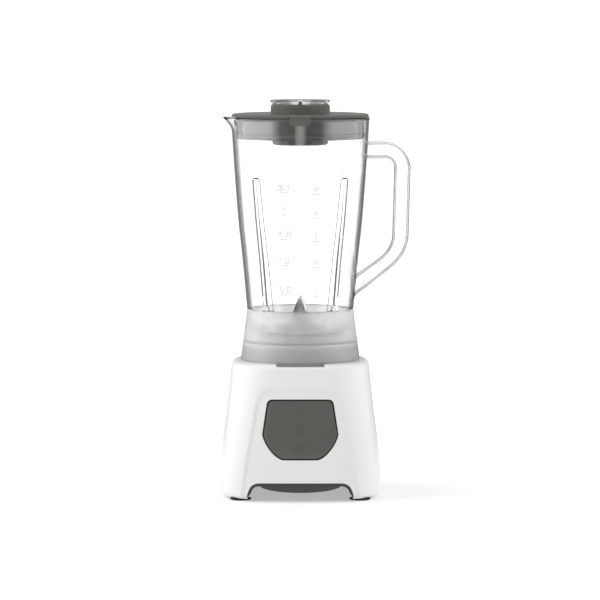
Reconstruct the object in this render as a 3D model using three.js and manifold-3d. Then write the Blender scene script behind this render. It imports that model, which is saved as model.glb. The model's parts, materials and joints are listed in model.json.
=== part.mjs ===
// A countertop blender: a motor base with a rocker switch, a clear jar with its blade set, a lid
// and a measuring cap. Millimetres, +Z up, the floor at Z = 0, the switch facing -Y.
import * as THREE from "three";
import { mergeVertices } from "three/addons/utils/BufferGeometryUtils.js";
import Module from "manifold-3d";

const wasm = await Module();
wasm.setup();

// Driving dimensions. Radii and X are measured from the drive axis.
const AXIS_X = -15.1; // drive axis from the middle of the overall width, which the handle widens
const GAP = 0.3; // between pieces that touch
const HOUSING_BOTTOM = 3.5;
const HOUSING_TOP = 134.5;
const HOUSING_WALL = 3.2;
const DEPTH_RATIO = 1.03; // of the housing's depth to its width
const BOSS_TOP = 150;
const BOSS_R = 54;
const RECESS_R = 20; // round the drive coupling
const SKIRT_TOP = 185.4;
const SKIRT_BOTTOM = 135;
const SKIRT_TOP_R = 53.2;
const SKIRT_BOTTOM_R = 59.5;
const JAR_FLOOR = 167;
const JAR_RIM = 377;
const JAR_WALL = 2.6;
const HANDLE_DEPTH = 22;
const LID_TOP = 380;
const LID_BORE_R = 25;
const COLLAR_TOP = 391;
const CAP_TOP = 394;
const FOOT = { x: 59, y: 58, r: 10.7 };
const SCREW = { x: 66, y: 28 };
const STATOR = { bottom: 55, top: 90, halfX: 36, halfY: 30 };
const PADDLE_Z = 72; // height of the switch's pivot
const PADDLE_INSET = 1.6; // of its face behind the housing's skin
const PADDLE_SWING_CLEARANCE = 1.1;
const SHAFT_R = 4;
const ROUND = 36; // sides of a large round piece
const SMALL_ROUND = 16;
const PIN_ROUND = 10;

// Housing sections: height, half width and how square the plan is (2 is an ellipse).
const HOUSING_SECTIONS = [
  [HOUSING_BOTTOM, 77, 4],
  [22.8, 79.8, 4],
  [93.8, 72.6, 3.6],
  [128, 69.3, 3],
  [132.5, 67, 2.8],
  [HOUSING_TOP, 62.5, 2.6],
];
// Outer radius of the jar above its collar: height and radius.
const JAR_SECTIONS = [
  [SKIRT_TOP + GAP, 52.9],
  [239, 57],
  [273, 60.9],
  [354, 67.3],
  [JAR_RIM, 69.3],
];

const COLOURS = {
  white: { color: 0xf4f4f2, roughness: 0.28, metalness: 0 },
  dark: { color: 0x3a3936, roughness: 0.5, metalness: 0 },
  warmGrey: { color: 0x5e5d58, roughness: 0.42, metalness: 0 },
  rubber: { color: 0x161616, roughness: 0.85, metalness: 0 },
  silicone: { color: 0xb9b8b3, roughness: 0.6, metalness: 0 },
  clear: { color: 0xdfe6e8, roughness: 0.05, metalness: 0 },
  frosted: { color: 0xc4c5c4, roughness: 0.45, metalness: 0 },
  steel: { color: 0xb8b8b6, roughness: 0.25, metalness: 1 },
  zinc: { color: 0x8d8f90, roughness: 0.4, metalness: 1 },
  laminate: { color: 0x55585a, roughness: 0.6, metalness: 0.8 },
  copper: { color: 0xb4693a, roughness: 0.4, metalness: 1 },
  bronze: { color: 0x9a7443, roughness: 0.45, metalness: 1 },
  carbon: { color: 0x1d1d1f, roughness: 0.9, metalness: 0 },
  yellow: { color: 0xd9b13a, roughness: 0.5, metalness: 0 },
};

// ---- Shape helpers ----

// A closed geometry as a manifold-3d solid.
function solid(geometry) {
  const bare = geometry.clone();
  bare.deleteAttribute("normal");
  bare.deleteAttribute("uv");
  const merged = mergeVertices(bare, 1e-4);
  const vertProperties = merged.attributes.position.array;
  const triVerts = new Uint32Array(merged.index.array);
  return new wasm.Manifold(new wasm.Mesh({ numProp: 3, vertProperties, triVerts }));
}

function geometryOf(body) {
  const { vertProperties, triVerts } = body.getMesh();
  const geometry = new THREE.BufferGeometry();
  geometry.setAttribute("position", new THREE.BufferAttribute(vertProperties, 3));
  geometry.setIndex(new THREE.BufferAttribute(triVerts, 1));
  geometry.computeVertexNormals();
  return geometry;
}

function join(...pieces) {
  return geometryOf(pieces.map(solid).reduce((sum, piece) => sum.add(piece)));
}

function cut(body, ...tools) {
  return geometryOf(tools.map(solid).reduce((rest, tool) => rest.subtract(tool), solid(body)));
}

function common(first, second) {
  return geometryOf(solid(first).intersect(solid(second)));
}

// A [radius, height] profile from axis to axis, turned round the Z axis.
function turned(profile, sides = SMALL_ROUND) {
  const points = profile.map(([r, z]) => new THREE.Vector2(r, z));
  return new THREE.LatheGeometry(points, sides).rotateX(Math.PI / 2);
}

// A closed [radius, height] profile clear of the axis, turned into a ring.
function ring(profile, sides = SMALL_ROUND) {
  return turned([...profile, profile[0]], sides);
}

function tube(innerR, outerR, low, high, sides = SMALL_ROUND) {
  return ring([[innerR, low], [outerR, low], [outerR, high], [innerR, high]], sides);
}

function rod(r, low, high, sides = SMALL_ROUND) {
  return turned([[0, low], [r, low], [r, high], [0, high]], sides);
}

// A box given by its lowest and highest corners.
function block([x0, y0, z0], [x1, y1, z1]) {
  const box = new THREE.BoxGeometry(x1 - x0, y1 - y0, z1 - z0);
  return box.translate((x0 + x1) / 2, (y0 + y1) / 2, (z0 + z1) / 2);
}

function shapeOf(points) {
  return new THREE.Shape(points.map(([x, y]) => new THREE.Vector2(x, y)));
}

// A shape extruded from low to high along Z.
function prism(shape, low, high, curveSegments = 4) {
  const options = { depth: high - low, bevelEnabled: false, curveSegments };
  return new THREE.ExtrudeGeometry(shape, options).translate(0, 0, low);
}

// A shape drawn in the XZ plane, extruded from Y = -half to Y = +half.
function slab(shape, half, curveSegments = 4) {
  return prism(shape, -half, half, curveSegments).rotateX(Math.PI / 2);
}

// A skin over rings of points. A closed loft joins its last ring to its first.
function loft(rings, closed = false) {
  const count = rings[0].length;
  const faces = [];
  const rows = closed ? rings.length : rings.length - 1;
  for (let row = 0; row < rows; row++) {
    const here = row * count;
    const next = ((row + 1) % rings.length) * count;
    for (let i = 0; i < count; i++) {
      const j = (i + 1) % count;
      faces.push(here + i, here + j, next + j, here + i, next + j, next + i);
    }
  }
  const last = (rings.length - 1) * count;
  for (let i = 1; !closed && i < count - 1; i++) {
    faces.push(0, i + 1, i, last, last + i, last + i + 1);
  }
  const geometry = new THREE.BufferGeometry().setFromPoints(rings.flat());
  geometry.setIndex(faces);
  geometry.computeVertexNormals();
  return geometry;
}

function mesh(name, geometry, look) {
  const piece = new THREE.Mesh(geometry, new THREE.MeshStandardMaterial(COLOURS[look]));
  piece.name = name;
  return piece;
}

function group(...children) {
  return new THREE.Group().add(...children);
}

function placed(object, x, y, z = 0) {
  object.position.set(x, y, z);
  return object;
}

function between(table, height) {
  const above = Math.max(1, table.findIndex(([z]) => z >= height));
  const [low, high] = [table[above - 1], table[above]];
  const share = (height - low[0]) / (high[0] - low[0]);
  return low.map((value, i) => value + (high[i] - value) * share);
}

// ---- Housing skin ----

function superellipse(halfX, halfY, exponent, z) {
  return Array.from({ length: ROUND }, (_, i) => {
    const angle = (2 * Math.PI * i) / ROUND;
    const [c, s] = [Math.cos(angle), Math.sin(angle)];
    const x = halfX * Math.sign(c) * Math.abs(c) ** (2 / exponent);
    const y = halfY * Math.sign(s) * Math.abs(s) ** (2 / exponent);
    return new THREE.Vector3(x, y, z);
  });
}

// The housing's outer form moved inwards, from the height low up to the height high.
function housingForm(inset, low, high) {
  const inside = HOUSING_SECTIONS.filter(([z]) => z > low + 0.1 && z < high - 0.1);
  const start = between(HOUSING_SECTIONS, Math.max(low, HOUSING_BOTTOM));
  const end = between(HOUSING_SECTIONS, high);
  const sections = [[low, ...start.slice(1)], ...inside, end];
  return loft(sections.map(([z, half, exponent]) =>
    superellipse(half - inset, half * DEPTH_RATIO - inset, exponent, z)));
}

// Front of the housing: local x across, local y up the slope, local z out of the surface.
const [, LOW_HALF] = between(HOUSING_SECTIONS, 22.8);
const [, HIGH_HALF] = between(HOUSING_SECTIONS, 93.8);
const [, PADDLE_HALF] = between(HOUSING_SECTIONS, PADDLE_Z);
const FRONT_TILT = Math.atan(((LOW_HALF - HIGH_HALF) * DEPTH_RATIO) / (93.8 - 22.8));
const FRONT = new THREE.Matrix4()
  .makeRotationX(Math.PI / 2 - FRONT_TILT)
  .setPosition(0, -PADDLE_HALF * DEPTH_RATIO, PADDLE_Z);

function onFront(geometry) {
  return geometry.applyMatrix4(FRONT);
}

// The switch's outline, straight along the top and bottom with bowed lower sides, grown by a margin.
function paddleShape(margin) {
  const top = 29.3 + margin;
  const topX = 32 + margin;
  const wideX = 37.4 + margin;
  const wideY = -4.8;
  const footX = 17 + margin * 0.6;
  const corner = 5;
  const shape = new THREE.Shape();
  shape.moveTo(-footX, -top);
  shape.lineTo(footX, -top);
  shape.bezierCurveTo(footX + 9, -top + 2, wideX - 1, wideY - 9, wideX, wideY);
  shape.lineTo(topX + 0.8, top - corner);
  shape.quadraticCurveTo(topX, top, topX - corner, top);
  shape.lineTo(corner - topX, top);
  shape.quadraticCurveTo(-topX, top, -topX - 0.8, top - corner);
  shape.lineTo(-wideX, wideY);
  shape.bezierCurveTo(1 - wideX, wideY - 9, -footX - 9, -top + 2, -footX, -top);
  return shape;
}

// The arch under the front and the back, as an XZ outline that reaches below the housing.
function archShape() {
  const shape = new THREE.Shape();
  shape.moveTo(-52, -5);
  shape.lineTo(52, -5);
  shape.lineTo(51.5, HOUSING_BOTTOM);
  shape.bezierCurveTo(50, 9, 49, 17, 40, 17);
  shape.lineTo(-40, 17);
  shape.bezierCurveTo(-49, 17, -50, 9, -51.5, HOUSING_BOTTOM);
  return shape;
}

// ---- Base ----

function jarSeat() {
  const wall = 3;
  return ring([
    [BOSS_R, HOUSING_TOP - wall - 0.5],
    [BOSS_R, BOSS_TOP - 1.5],
    [BOSS_R - 1.5, BOSS_TOP],
    [RECESS_R, BOSS_TOP],
    [RECESS_R, HOUSING_TOP + 0.5],
    [SHAFT_R + 2, HOUSING_TOP + 0.5],
    [SHAFT_R + 2, HOUSING_TOP - 2.5],
    [RECESS_R + wall, HOUSING_TOP - 2.5],
    [RECESS_R + wall, BOSS_TOP - wall],
    [BOSS_R - wall, BOSS_TOP - wall],
    [BOSS_R - wall, HOUSING_TOP - wall - 0.5],
  ], ROUND);
}

const INTERLOCK_Y = 40;
const TAB_HALF = 22.7;

function screwPosts() {
  const top = 38;
  return [-1, 1].flatMap((side) => [-1, 1].flatMap((end) => {
    const post = rod(4.5, 7.5, top, PIN_ROUND).translate(side * SCREW.x, end * SCREW.y, 0);
    const inner = side * SCREW.x;
    const outer = side * 77.4;
    const rib = block(
      [Math.min(inner, outer), end * SCREW.y - 1, 9],
      [Math.max(inner, outer), end * SCREW.y + 1, top - 2],
    );
    return [post, rib];
  }));
}

function screwHoles(r, low, high) {
  return [-1, 1].flatMap((side) => [-1, 1].map((end) =>
    rod(r, low, high, PIN_ROUND).translate(side * SCREW.x, end * SCREW.y, 0)));
}

// A round tool along Y at the cord's inlet.
const INLET_Z = 30;

function inletTurned(profile) {
  return ring(profile).rotateX(-Math.PI / 2).translate(0, 0, INLET_Z);
}

function inletTool(r, from, to) {
  return rod(r, from, to).rotateX(-Math.PI / 2).translate(0, 0, INLET_Z);
}

function motorHousing() {
  const skin = housingForm(0, HOUSING_BOTTOM, HOUSING_TOP);
  const hollow = housingForm(HOUSING_WALL, 0, HOUSING_TOP - 3);
  const switchHole = onFront(prism(paddleShape(PADDLE_SWING_CLEARANCE), -12, 12));
  const shell = cut(
    skin,
    hollow,
    switchHole,
    slab(archShape(), 100),
    rod(BOSS_R - 1.5, HOUSING_TOP - 8, HOUSING_TOP + 5, ROUND),
    inletTool(6.3, 70, 90),
    inletTool(8.4, 79.5, 90),
  );
  const key = block([-10, -54.6, HOUSING_TOP - 1.5], [10, -50, 143.8]);
  const switchBracket = block([-7, 48.3, 104], [7, 52, HOUSING_TOP - 1]);
  const body = join(shell, jarSeat(), key, switchBracket, ...screwPosts());
  const tabPocket = common(
    tube(56.6, 61.4, HOUSING_TOP - 1.9, HOUSING_TOP + 4, ROUND),
    block([-TAB_HALF - 1, -70, 120], [TAB_HALF + 1, -40, 150]),
  );
  const pinHole = rod(3, 140, 160, PIN_ROUND).translate(0, INTERLOCK_Y, 0);
  return cut(body, tabPocket, pinHole, ...screwHoles(1.8, 0, 24));
}

// The underside: flat under the four corners, arched between them, with a vented belly.
function coverShape() {
  const shape = new THREE.Shape();
  shape.moveTo(-78, 4.2);
  shape.lineTo(-53.5, 4.2);
  shape.quadraticCurveTo(-50, 4.6, -48.3, 10);
  shape.quadraticCurveTo(-46.4, 15.4, -40, 15.4);
  shape.quadraticCurveTo(0, 2.6, 40, 15.4);
  shape.quadraticCurveTo(46.4, 15.4, 48.3, 10);
  shape.quadraticCurveTo(50, 4.6, 53.5, 4.2);
  shape.lineTo(78, 4.2);
  shape.lineTo(78, 7.2);
  shape.lineTo(55, 7.2);
  shape.quadraticCurveTo(52.8, 7.4, 51.4, 11);
  shape.quadraticCurveTo(49, 18.4, 40, 18.4);
  shape.quadraticCurveTo(0, 5.6, -40, 18.4);
  shape.quadraticCurveTo(-49, 18.4, -51.4, 11);
  shape.quadraticCurveTo(-52.8, 7.4, -55, 7.2);
  shape.lineTo(-78, 7.2);
  return shape;
}

const MOUNT = { x: 30, y: 23, low: 18, high: 21.7 };

function atMounts(make) {
  return [-1, 1].flatMap((side) => [-1, 1].map((end) => make(side * MOUNT.x, end * MOUNT.y)));
}

function bottomCover() {
  const plate = common(slab(coverShape(), 90, 3), housingForm(HOUSING_WALL + 0.4, 0, 30));
  const bosses = atMounts((x, y) => rod(5, 13.5, MOUNT.low - GAP, PIN_ROUND).translate(x, y, 0));
  const slots = [-2, -1, 0, 1, 2].map((i) => block([i * 9 - 2, -30, 0], [i * 9 + 2, 30, 25]));
  const stems = [-1, 1].flatMap((side) => [-1, 1].map((end) =>
    rod(3.4, 0, 12, PIN_ROUND).translate(side * FOOT.x, end * FOOT.y, 0)));
  return cut(
    join(plate, ...bosses),
    ...slots,
    ...stems,
    ...screwHoles(1.9, 0, 12),
    ...screwHoles(3.9, 0, 5.9),
  );
}

function foot() {
  return turned([
    [0, 0], [FOOT.r - 0.6, 0], [FOOT.r, 0.8], [FOOT.r, 3.2],
    [5, 3.2], [5, 3.9], [3, 3.9], [3, 9], [0, 9],
  ]);
}

function coverScrew() {
  return turned([[0, 4.6], [3.5, 4.6], [3.5, 5.6], [1.5, 5.6], [1.5, 22], [0, 22]], PIN_ROUND);
}

function cordInlet() {
  return inletTurned([
    [3.6, 74.5], [7.4, 74.5], [7.4, 77.3], [5.9, 77.3], [5.9, 79.8], [8, 79.8],
    [8, 80.6], [7.4, 81.2], [3.6, 81.2],
  ]);
}

const PIVOT_DEPTH = -9; // of the paddle's pin behind the housing's skin
const LUG_X = 21;
const EAR_X = 26;
const TRAY_BACK = -17;

// A small round tool along X at the paddle's pin.
function pinTool(r, half) {
  return onFront(rod(r, -half, half, PIN_ROUND).rotateY(Math.PI / 2).translate(0, 0, PIVOT_DEPTH));
}

function sideBlocks(x, half, low, high) {
  return [-x, x].map((middle) =>
    onFront(block([middle - 1.5, -half, low], [middle + 1.5, half, high])));
}

function switchPaddle() {
  const outer = housingForm(PADDLE_INSET, 20, 125);
  const inner = housingForm(PADDLE_INSET + 2.8, 20, 125);
  const plate = cut(common(onFront(prism(paddleShape(0), -14, 6)), outer), inner);
  const lugs = sideBlocks(LUG_X, 4, PIVOT_DEPTH - 3, -3.2);
  return cut(join(plate, ...lugs), pinTool(2.3, 40));
}

function switchFrame() {
  const back = TRAY_BACK + 3;
  const bulk = common(
    onFront(prism(paddleShape(5), TRAY_BACK, 10)),
    housingForm(HOUSING_WALL + 0.4, 10, 125),
  );
  const hollow = onFront(prism(paddleShape(2), back, 12));
  const window = onFront(block([-8, -10, TRAY_BACK - 1], [8, 10, back + 1]));
  const tray = cut(bulk, hollow, window);
  const ears = sideBlocks(EAR_X, 4, TRAY_BACK + 1, PIVOT_DEPTH + 3.5);
  return cut(join(tray, ...ears), pinTool(2.3, 40));
}

function switchBlock() {
  const body = onFront(block([-12, -14, -33], [12, 14, TRAY_BACK - GAP]));
  const stub = onFront(block([-4, -4, -20], [4, 4, -13.5]));
  return join(body, stub);
}

function paddlePin() {
  return pinTool(2, EAR_X + 3);
}

// ---- Motor ----

function motorStator() {
  const { bottom, top, halfX, halfY } = STATOR;
  const corner = 8;
  const outline = shapeOf([
    [corner - halfX, -halfY], [halfX - corner, -halfY], [halfX, corner - halfY],
    [halfX, halfY - corner], [halfX - corner, halfY], [corner - halfX, halfY],
    [-halfX, halfY - corner], [-halfX, corner - halfY],
  ]);
  const slots = [-1, 1].flatMap((side) => [-1, 1].map((end) => {
    const [x0, x1] = side < 0 ? [-30.6, -22.4] : [22.4, 30.6];
    const [y0, y1] = end < 0 ? [-19, -12] : [12, 19];
    return block([x0, y0, bottom - 1], [x1, y1, top + 1]);
  }));
  const relief = block([-23.5, -14, bottom - 1], [23.5, 14, top + 1]);
  const bore = join(rod(20.6, bottom - 1, top + 1, 24), common(relief, block(
    [-14, -20, bottom - 1], [14, 20, top + 1])));
  return cut(prism(outline, bottom, top), bore, ...slots);
}

// A rounded rectangle from low to high, 2 * halfX wide, round the middle of X.
function roundedPath(halfX, low, high, r) {
  const path = new THREE.Path();
  path.moveTo(r - halfX, low);
  path.lineTo(halfX - r, low);
  path.quadraticCurveTo(halfX, low, halfX, low + r);
  path.lineTo(halfX, high - r);
  path.quadraticCurveTo(halfX, high, halfX - r, high);
  path.lineTo(r - halfX, high);
  path.quadraticCurveTo(-halfX, high, -halfX, high - r);
  path.lineTo(-halfX, low + r);
  path.quadraticCurveTo(-halfX, low, r - halfX, low);
  return path;
}

// A field coil: a rounded loop round one pole, in the YZ plane.
function fieldCoil(side) {
  const loop = new THREE.Shape(roundedPath(18.6, 47, 98, 6).getPoints(3));
  loop.holes.push(new THREE.Path(
    roundedPath(12.3, STATOR.bottom - GAP, STATOR.top + GAP, 0.4).getPoints(1)));
  return slab(loop, 3.7).rotateZ(Math.PI / 2).translate(side * 26.5, 0, 0);
}

const BEARING_R = 8;

// An end bracket: a plate at the height low, a bearing boss and four posts to the stator's face.
function bracket(low, bossLow, bossHigh, face) {
  const plate = block([-35, -27, low], [35, 27, low + 3]);
  const boss = rod(BEARING_R + 3, bossLow, bossHigh);
  const [postLow, postHigh] = face > low ? [low + 1, face] : [face, low + 1];
  const posts = atMounts((x, y) => rod(3, postLow, postHigh, 8).translate(x, y, 0));
  return cut(join(plate, boss, ...posts), rod(BEARING_R + GAP, bossLow - 1, bossHigh + 1));
}

function bearing(low) {
  return tube(SHAFT_R + GAP, BEARING_R, low, low + 7);
}

const BRUSH_Z = 37;

// A brush holder: a square channel towards the commutator on a foot, along one side of X.
function brushHolder(side) {
  const [near, far] = [15, 30];
  const x = (low, high) => (side > 0 ? [low, high] : [-high, -low]);
  const span = x(near, far);
  const foot = x(24, far);
  const channel = x(near - 1, far - 2);
  return cut(
    join(
      block([span[0], -5, BRUSH_Z - 5], [span[1], 5, BRUSH_Z + 5]),
      block([foot[0], -5, 25 + GAP], [foot[1], 5, BRUSH_Z]),
    ),
    block([channel[0], -3.3, BRUSH_Z - 3.3], [channel[1], 3.3, BRUSH_Z + 3.3]),
  );
}

function brush(side) {
  const [low, high] = side > 0 ? [11.4, 26] : [-26, -11.4];
  return block([low, -3, BRUSH_Z - 3], [high, 3, BRUSH_Z + 3]);
}

function motorShaft() {
  return turned([
    [0, 18.5], [SHAFT_R - 0.6, 18.5], [SHAFT_R, 19.1], [SHAFT_R, 142], [SHAFT_R - 0.5, 142.6],
    [0, 142.6],
  ]);
}

function armature() {
  const bore = SHAFT_R + GAP;
  const [low, high] = [STATOR.bottom, STATOR.top];
  return ring([
    [bore, low - 6], [13, low - 6], [16, low - 3], [16.6, low], [19.8, low], [19.8, high],
    [16.6, high], [16, high + 3], [13, high + 6], [bore, high + 6],
  ], 24);
}

// The fan: a disc with straight radial vanes on top.
function coolingFan() {
  const [low, high, rim] = [108, 119, 29];
  const bore = SHAFT_R + GAP;
  const vanes = Array.from({ length: 9 }, (_, i) =>
    block([7, -0.8, low + 1], [rim - 1, 0.8, high]).rotateZ((2 * Math.PI * i) / 9));
  return join(tube(bore, rim, low, low + 2, 24), tube(bore, 8, low, high), ...vanes);
}

// ---- Couplings: a disc and dogs that mesh with the other disc's dogs ----

const DOGS = 6;
const DOG_HALF_ANGLE = 0.2;

function dog(low, high, angle) {
  const [inner, outer] = [9, 15.5];
  const shape = new THREE.Shape();
  shape.absarc(0, 0, outer, angle - DOG_HALF_ANGLE, angle + DOG_HALF_ANGLE, false);
  shape.absarc(0, 0, inner, angle + DOG_HALF_ANGLE, angle - DOG_HALF_ANGLE, true);
  return prism(shape, low, high, 2);
}

function coupling(low, high, dogLow, dogHigh, turn) {
  const disc = tube(SHAFT_R + GAP, 16, low, high, SMALL_ROUND);
  const dogs = Array.from({ length: DOGS }, (_, i) =>
    dog(dogLow, dogHigh, (2 * Math.PI * (i + turn)) / DOGS));
  return join(disc, ...dogs);
}

const DRIVE_TOP = 143;
const DOG_TOP = 148;

function driveCoupling() {
  return coupling(HOUSING_TOP + 2, DRIVE_TOP, DRIVE_TOP - 0.5, DOG_TOP, 0);
}

function drivenCoupling() {
  return coupling(DOG_TOP + 0.6, 155, DRIVE_TOP + 0.4, DOG_TOP + 1, 0.5);
}

// ---- Interlock ----

function interlockPin() {
  return turned([
    [0, 119], [2.5, 119], [2.5, 141], [4, 141], [4, 142.5], [2.5, 142.5], [2.5, 150.6],
    [1.8, 151.2], [0, 151.2],
  ], PIN_ROUND);
}

// ---- Jar ----

const SPOUT_REACH = 8.6;
const SPOUT_START = 364.7;
const SPOUT_HALF_ANGLE = (20 * Math.PI) / 180;

// How far the wall is drawn out at the pouring spout, which points along -X.
function spoutReach(angle, z) {
  const across = Math.max(0, 1 - Math.abs(angle - Math.PI) / SPOUT_HALF_ANGLE);
  const up = Math.max(0, (z - SPOUT_START) / (JAR_RIM - SPOUT_START));
  return SPOUT_REACH * across * up;
}

function jarRing(r, z) {
  return Array.from({ length: ROUND }, (_, i) => {
    const angle = (2 * Math.PI * i) / ROUND;
    const reach = r + spoutReach(angle, z);
    return new THREE.Vector3(reach * Math.cos(angle), reach * Math.sin(angle), z);
  });
}

const JAR_FOOT = 164;
const JAR_FOOT_R = 50;

function jarWall() {
  const spoutSection = between(JAR_SECTIONS, SPOUT_START);
  const outer = [...JAR_SECTIONS.slice(0, -1), spoutSection, JAR_SECTIONS.at(-1)];
  const inner = outer.slice(1).reverse().map(([z, r]) => [r - JAR_WALL, z]);
  const profile = [
    [30, JAR_FOOT],
    [JAR_FOOT_R, JAR_FOOT],
    [JAR_FOOT_R, SKIRT_TOP + GAP],
    ...outer.map(([z, r]) => [r, z]),
    ...inner,
    [JAR_FOOT_R - JAR_WALL, SKIRT_TOP],
    [JAR_FOOT_R - JAR_WALL, JAR_FLOOR],
    [30, JAR_FLOOR],
  ];
  return loft(profile.map(([r, z]) => jarRing(r, z)), true);
}

const RIB_TOP = 317;

// A mixing rib on the inside of the wall, leaning with it, at 45 degrees to the axes.
function jarRib(quadrant) {
  const [, topR] = between(JAR_SECTIONS, RIB_TOP);
  const shape = shapeOf([
    [42.6, JAR_FLOOR - 1], [JAR_FOOT_R - 1, JAR_FLOOR - 1], [JAR_FOOT_R - 1, SKIRT_TOP],
    [topR - 1, RIB_TOP], [topR - 6, RIB_TOP], [topR - 8, RIB_TOP - 3],
  ]);
  return slab(shape, 1.6).rotateZ(Math.PI / 4 + (Math.PI / 2) * quadrant);
}

// The handle's outline in the XZ plane, as a strip between two distances in from its outer face.
function handleCurve(inset) {
  const right = 110 - inset;
  const top = 352.1 - inset;
  const r = Math.max(24 - inset, 4);
  const path = new THREE.Path();
  path.moveTo(62, top);
  path.lineTo(right - r, top);
  path.quadraticCurveTo(right - 0.29 * r + 0.12 * r, top - 0.12 * r, right, top - r);
  path.lineTo(right - 2, 259);
  path.quadraticCurveTo(right - 2.5, 241 + inset * 0.4, 89.6 - inset * 0.5, 225.8 + inset * 0.75);
  path.lineTo(50.5, 195.2 + inset * 1.25);
  return path.getPoints(4);
}

function handleStrip(fromInset, toInset, half) {
  const outer = handleCurve(fromInset);
  const inner = handleCurve(toInset).reverse();
  return slab(shapeOf([...outer, ...inner].map(({ x, y }) => [x, y])), half);
}

function jarHandle() {
  return join(
    handleStrip(0, 3, HANDLE_DEPTH / 2),
    handleStrip(2.5, 14, 1.6),
    handleStrip(13.5, 16.5, HANDLE_DEPTH / 2),
  );
}

function jar() {
  const inside = turned([
    [0, JAR_FLOOR], [46, JAR_FLOOR], [48.5, 200], [56.5, 273], [63.5, 354], [60, 376], [0, 376],
  ], ROUND);
  const ribs = [0, 1, 2, 3].map(jarRib);
  return join(jarWall(), cut(jarHandle(), inside), ...ribs);
}

function jarBase() {
  const presser = INTERLOCK_Y;
  const skirt = ring([
    [SKIRT_BOTTOM_R, SKIRT_BOTTOM],
    [SKIRT_TOP_R, SKIRT_TOP],
    [JAR_FOOT_R + 0.7, SKIRT_TOP],
    [JAR_FOOT_R + 0.7, 161.5],
    [14, 161.5], [14, 172], [7.5, 172], [7.5, 156], [14, 156], [14, 158],
    [presser - 2, 158], [presser - 2, BOSS_TOP + 1.5],
    [presser + 2, BOSS_TOP + 1.5], [presser + 2, 158],
    [54.2, 158],
    [SKIRT_BOTTOM_R - 2.4, SKIRT_BOTTOM],
  ], ROUND);
  const tab = common(
    tube(57.4, SKIRT_BOTTOM_R + 1, HOUSING_TOP - 1.5, SKIRT_BOTTOM + 2, ROUND),
    block([-TAB_HALF, -70, 120], [TAB_HALF, -40, 150]),
  );
  return join(skirt, tab);
}

// ---- Blade set ----

const HUB = { washer: 175.5, lower: 176.8, upper: 179.2, nut: 181.4 };
const BLADE_THICKNESS = 1.6;
const STEM_R = 3;

function bladeShaft() {
  return turned([
    [0, 149], [SHAFT_R, 149], [SHAFT_R, HUB.washer - GAP], [STEM_R, HUB.washer - GAP],
    [STEM_R, 186.4], [STEM_R - 0.6, 187], [0, 187],
  ]);
}

// A blade along X through stations of distance, near edge, far edge and height of its underside.
function blade(stations) {
  const both = [
    ...stations.map(([x, near, far, z]) => [-x, -far, -near, z]).reverse(),
    ...stations,
  ];
  const skin = loft(both.map(([x, near, far, z], i) => {
    const before = both[Math.max(0, i - 1)];
    const after = both[Math.min(both.length - 1, i + 1)];
    const slope = Math.atan2(after[3] - before[3], after[0] - before[0]);
    const [dx, dz] = [-Math.sin(slope) * BLADE_THICKNESS, Math.cos(slope) * BLADE_THICKNESS];
    return [
      new THREE.Vector3(x, near, z),
      new THREE.Vector3(x, far, z),
      new THREE.Vector3(x + dx, far, z + dz),
      new THREE.Vector3(x + dx, near, z + dz),
    ];
  }));
  return cut(skin, rod(STEM_R + GAP, 170, 190));
}

function lowerBlade() {
  const z = HUB.lower;
  return blade([[8, -7, 7, z], [14, -6.5, 6.5, z + 0.4], [22, -5, 6, z + 2.4], [31, 0.5, 4, z + 5]]);
}

function upperBlade() {
  const z = HUB.upper;
  return blade([[8, -6.5, 6.5, z], [11, -6.5, 6, z + 1.5], [15, -4, 5, z + 9], [19, 0, 1.6, z + 18]])
    .rotateZ(Math.PI / 2 - 0.1);
}

// ---- Lid and cap ----

function lid() {
  const plugR = 63.3;
  const [rimLow, grooveHigh, grooveLow, plugLow] = [JAR_RIM + GAP, 361.8, 357, 355.6];
  const body = ring([
    [LID_BORE_R, 349.4], [26.7, 349.4], [27.9, 350.6], [27.9, rimLow],
    [59.6, rimLow], [59.6, plugLow], [plugR, plugLow], [plugR, grooveLow],
    [plugR - 1.9, grooveLow], [plugR - 1.9, grooveHigh], [plugR, grooveHigh], [plugR, rimLow],
    [68.4, rimLow], [68.4, LID_TOP - 1.2], [67, LID_TOP], [29.6, LID_TOP],
    [29.6, COLLAR_TOP], [LID_BORE_R, COLLAR_TOP],
  ], ROUND);
  const tongue = new THREE.Shape(roundedPath(10.7, 370.4, LID_TOP + 8, 6).getPoints(3));
  const tab = join(
    slab(tongue, 1).translate(0, -70.9, 0),
    block([-10.7, -71.9, rimLow + 0.3], [10.7, -64, LID_TOP + 10]),
  );
  return join(body, common(tab, block([-30, -80, 360], [30, 0, LID_TOP - 0.2])));
}

function lidSeal() {
  return tube(61.7, 64.2, 357.3, 361.5, ROUND);
}

function measuringCap() {
  const [r, cupR, low] = [30, 24.2, 352];
  const underside = COLLAR_TOP + GAP;
  return turned([
    [0, underside], [cupR - 1.8, underside], [cupR - 2.1, low], [cupR - 0.4, low],
    [cupR, underside], [r - 0.8, underside], [r, underside + 0.8], [r, CAP_TOP - 1],
    [r - 1, CAP_TOP], [0, CAP_TOP],
  ], 30);
}

// ---- Assembly: one group for each body that moves as one ----

function corners(prefix, make) {
  return ["front", "rear"].flatMap((end) => ["left", "right"].map((side) =>
    make(`${prefix}_${end}_${side}`, side === "left" ? -1 : 1, end === "front" ? -1 : 1)));
}

function numbered(prefix, spot, make) {
  const signs = [[-1, -1], [1, -1], [1, 1], [-1, 1]];
  return signs.map(([sx, sy], i) => placed(make(`${prefix}_${i + 1}`), sx * spot.x, sy * spot.y));
}

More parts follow.
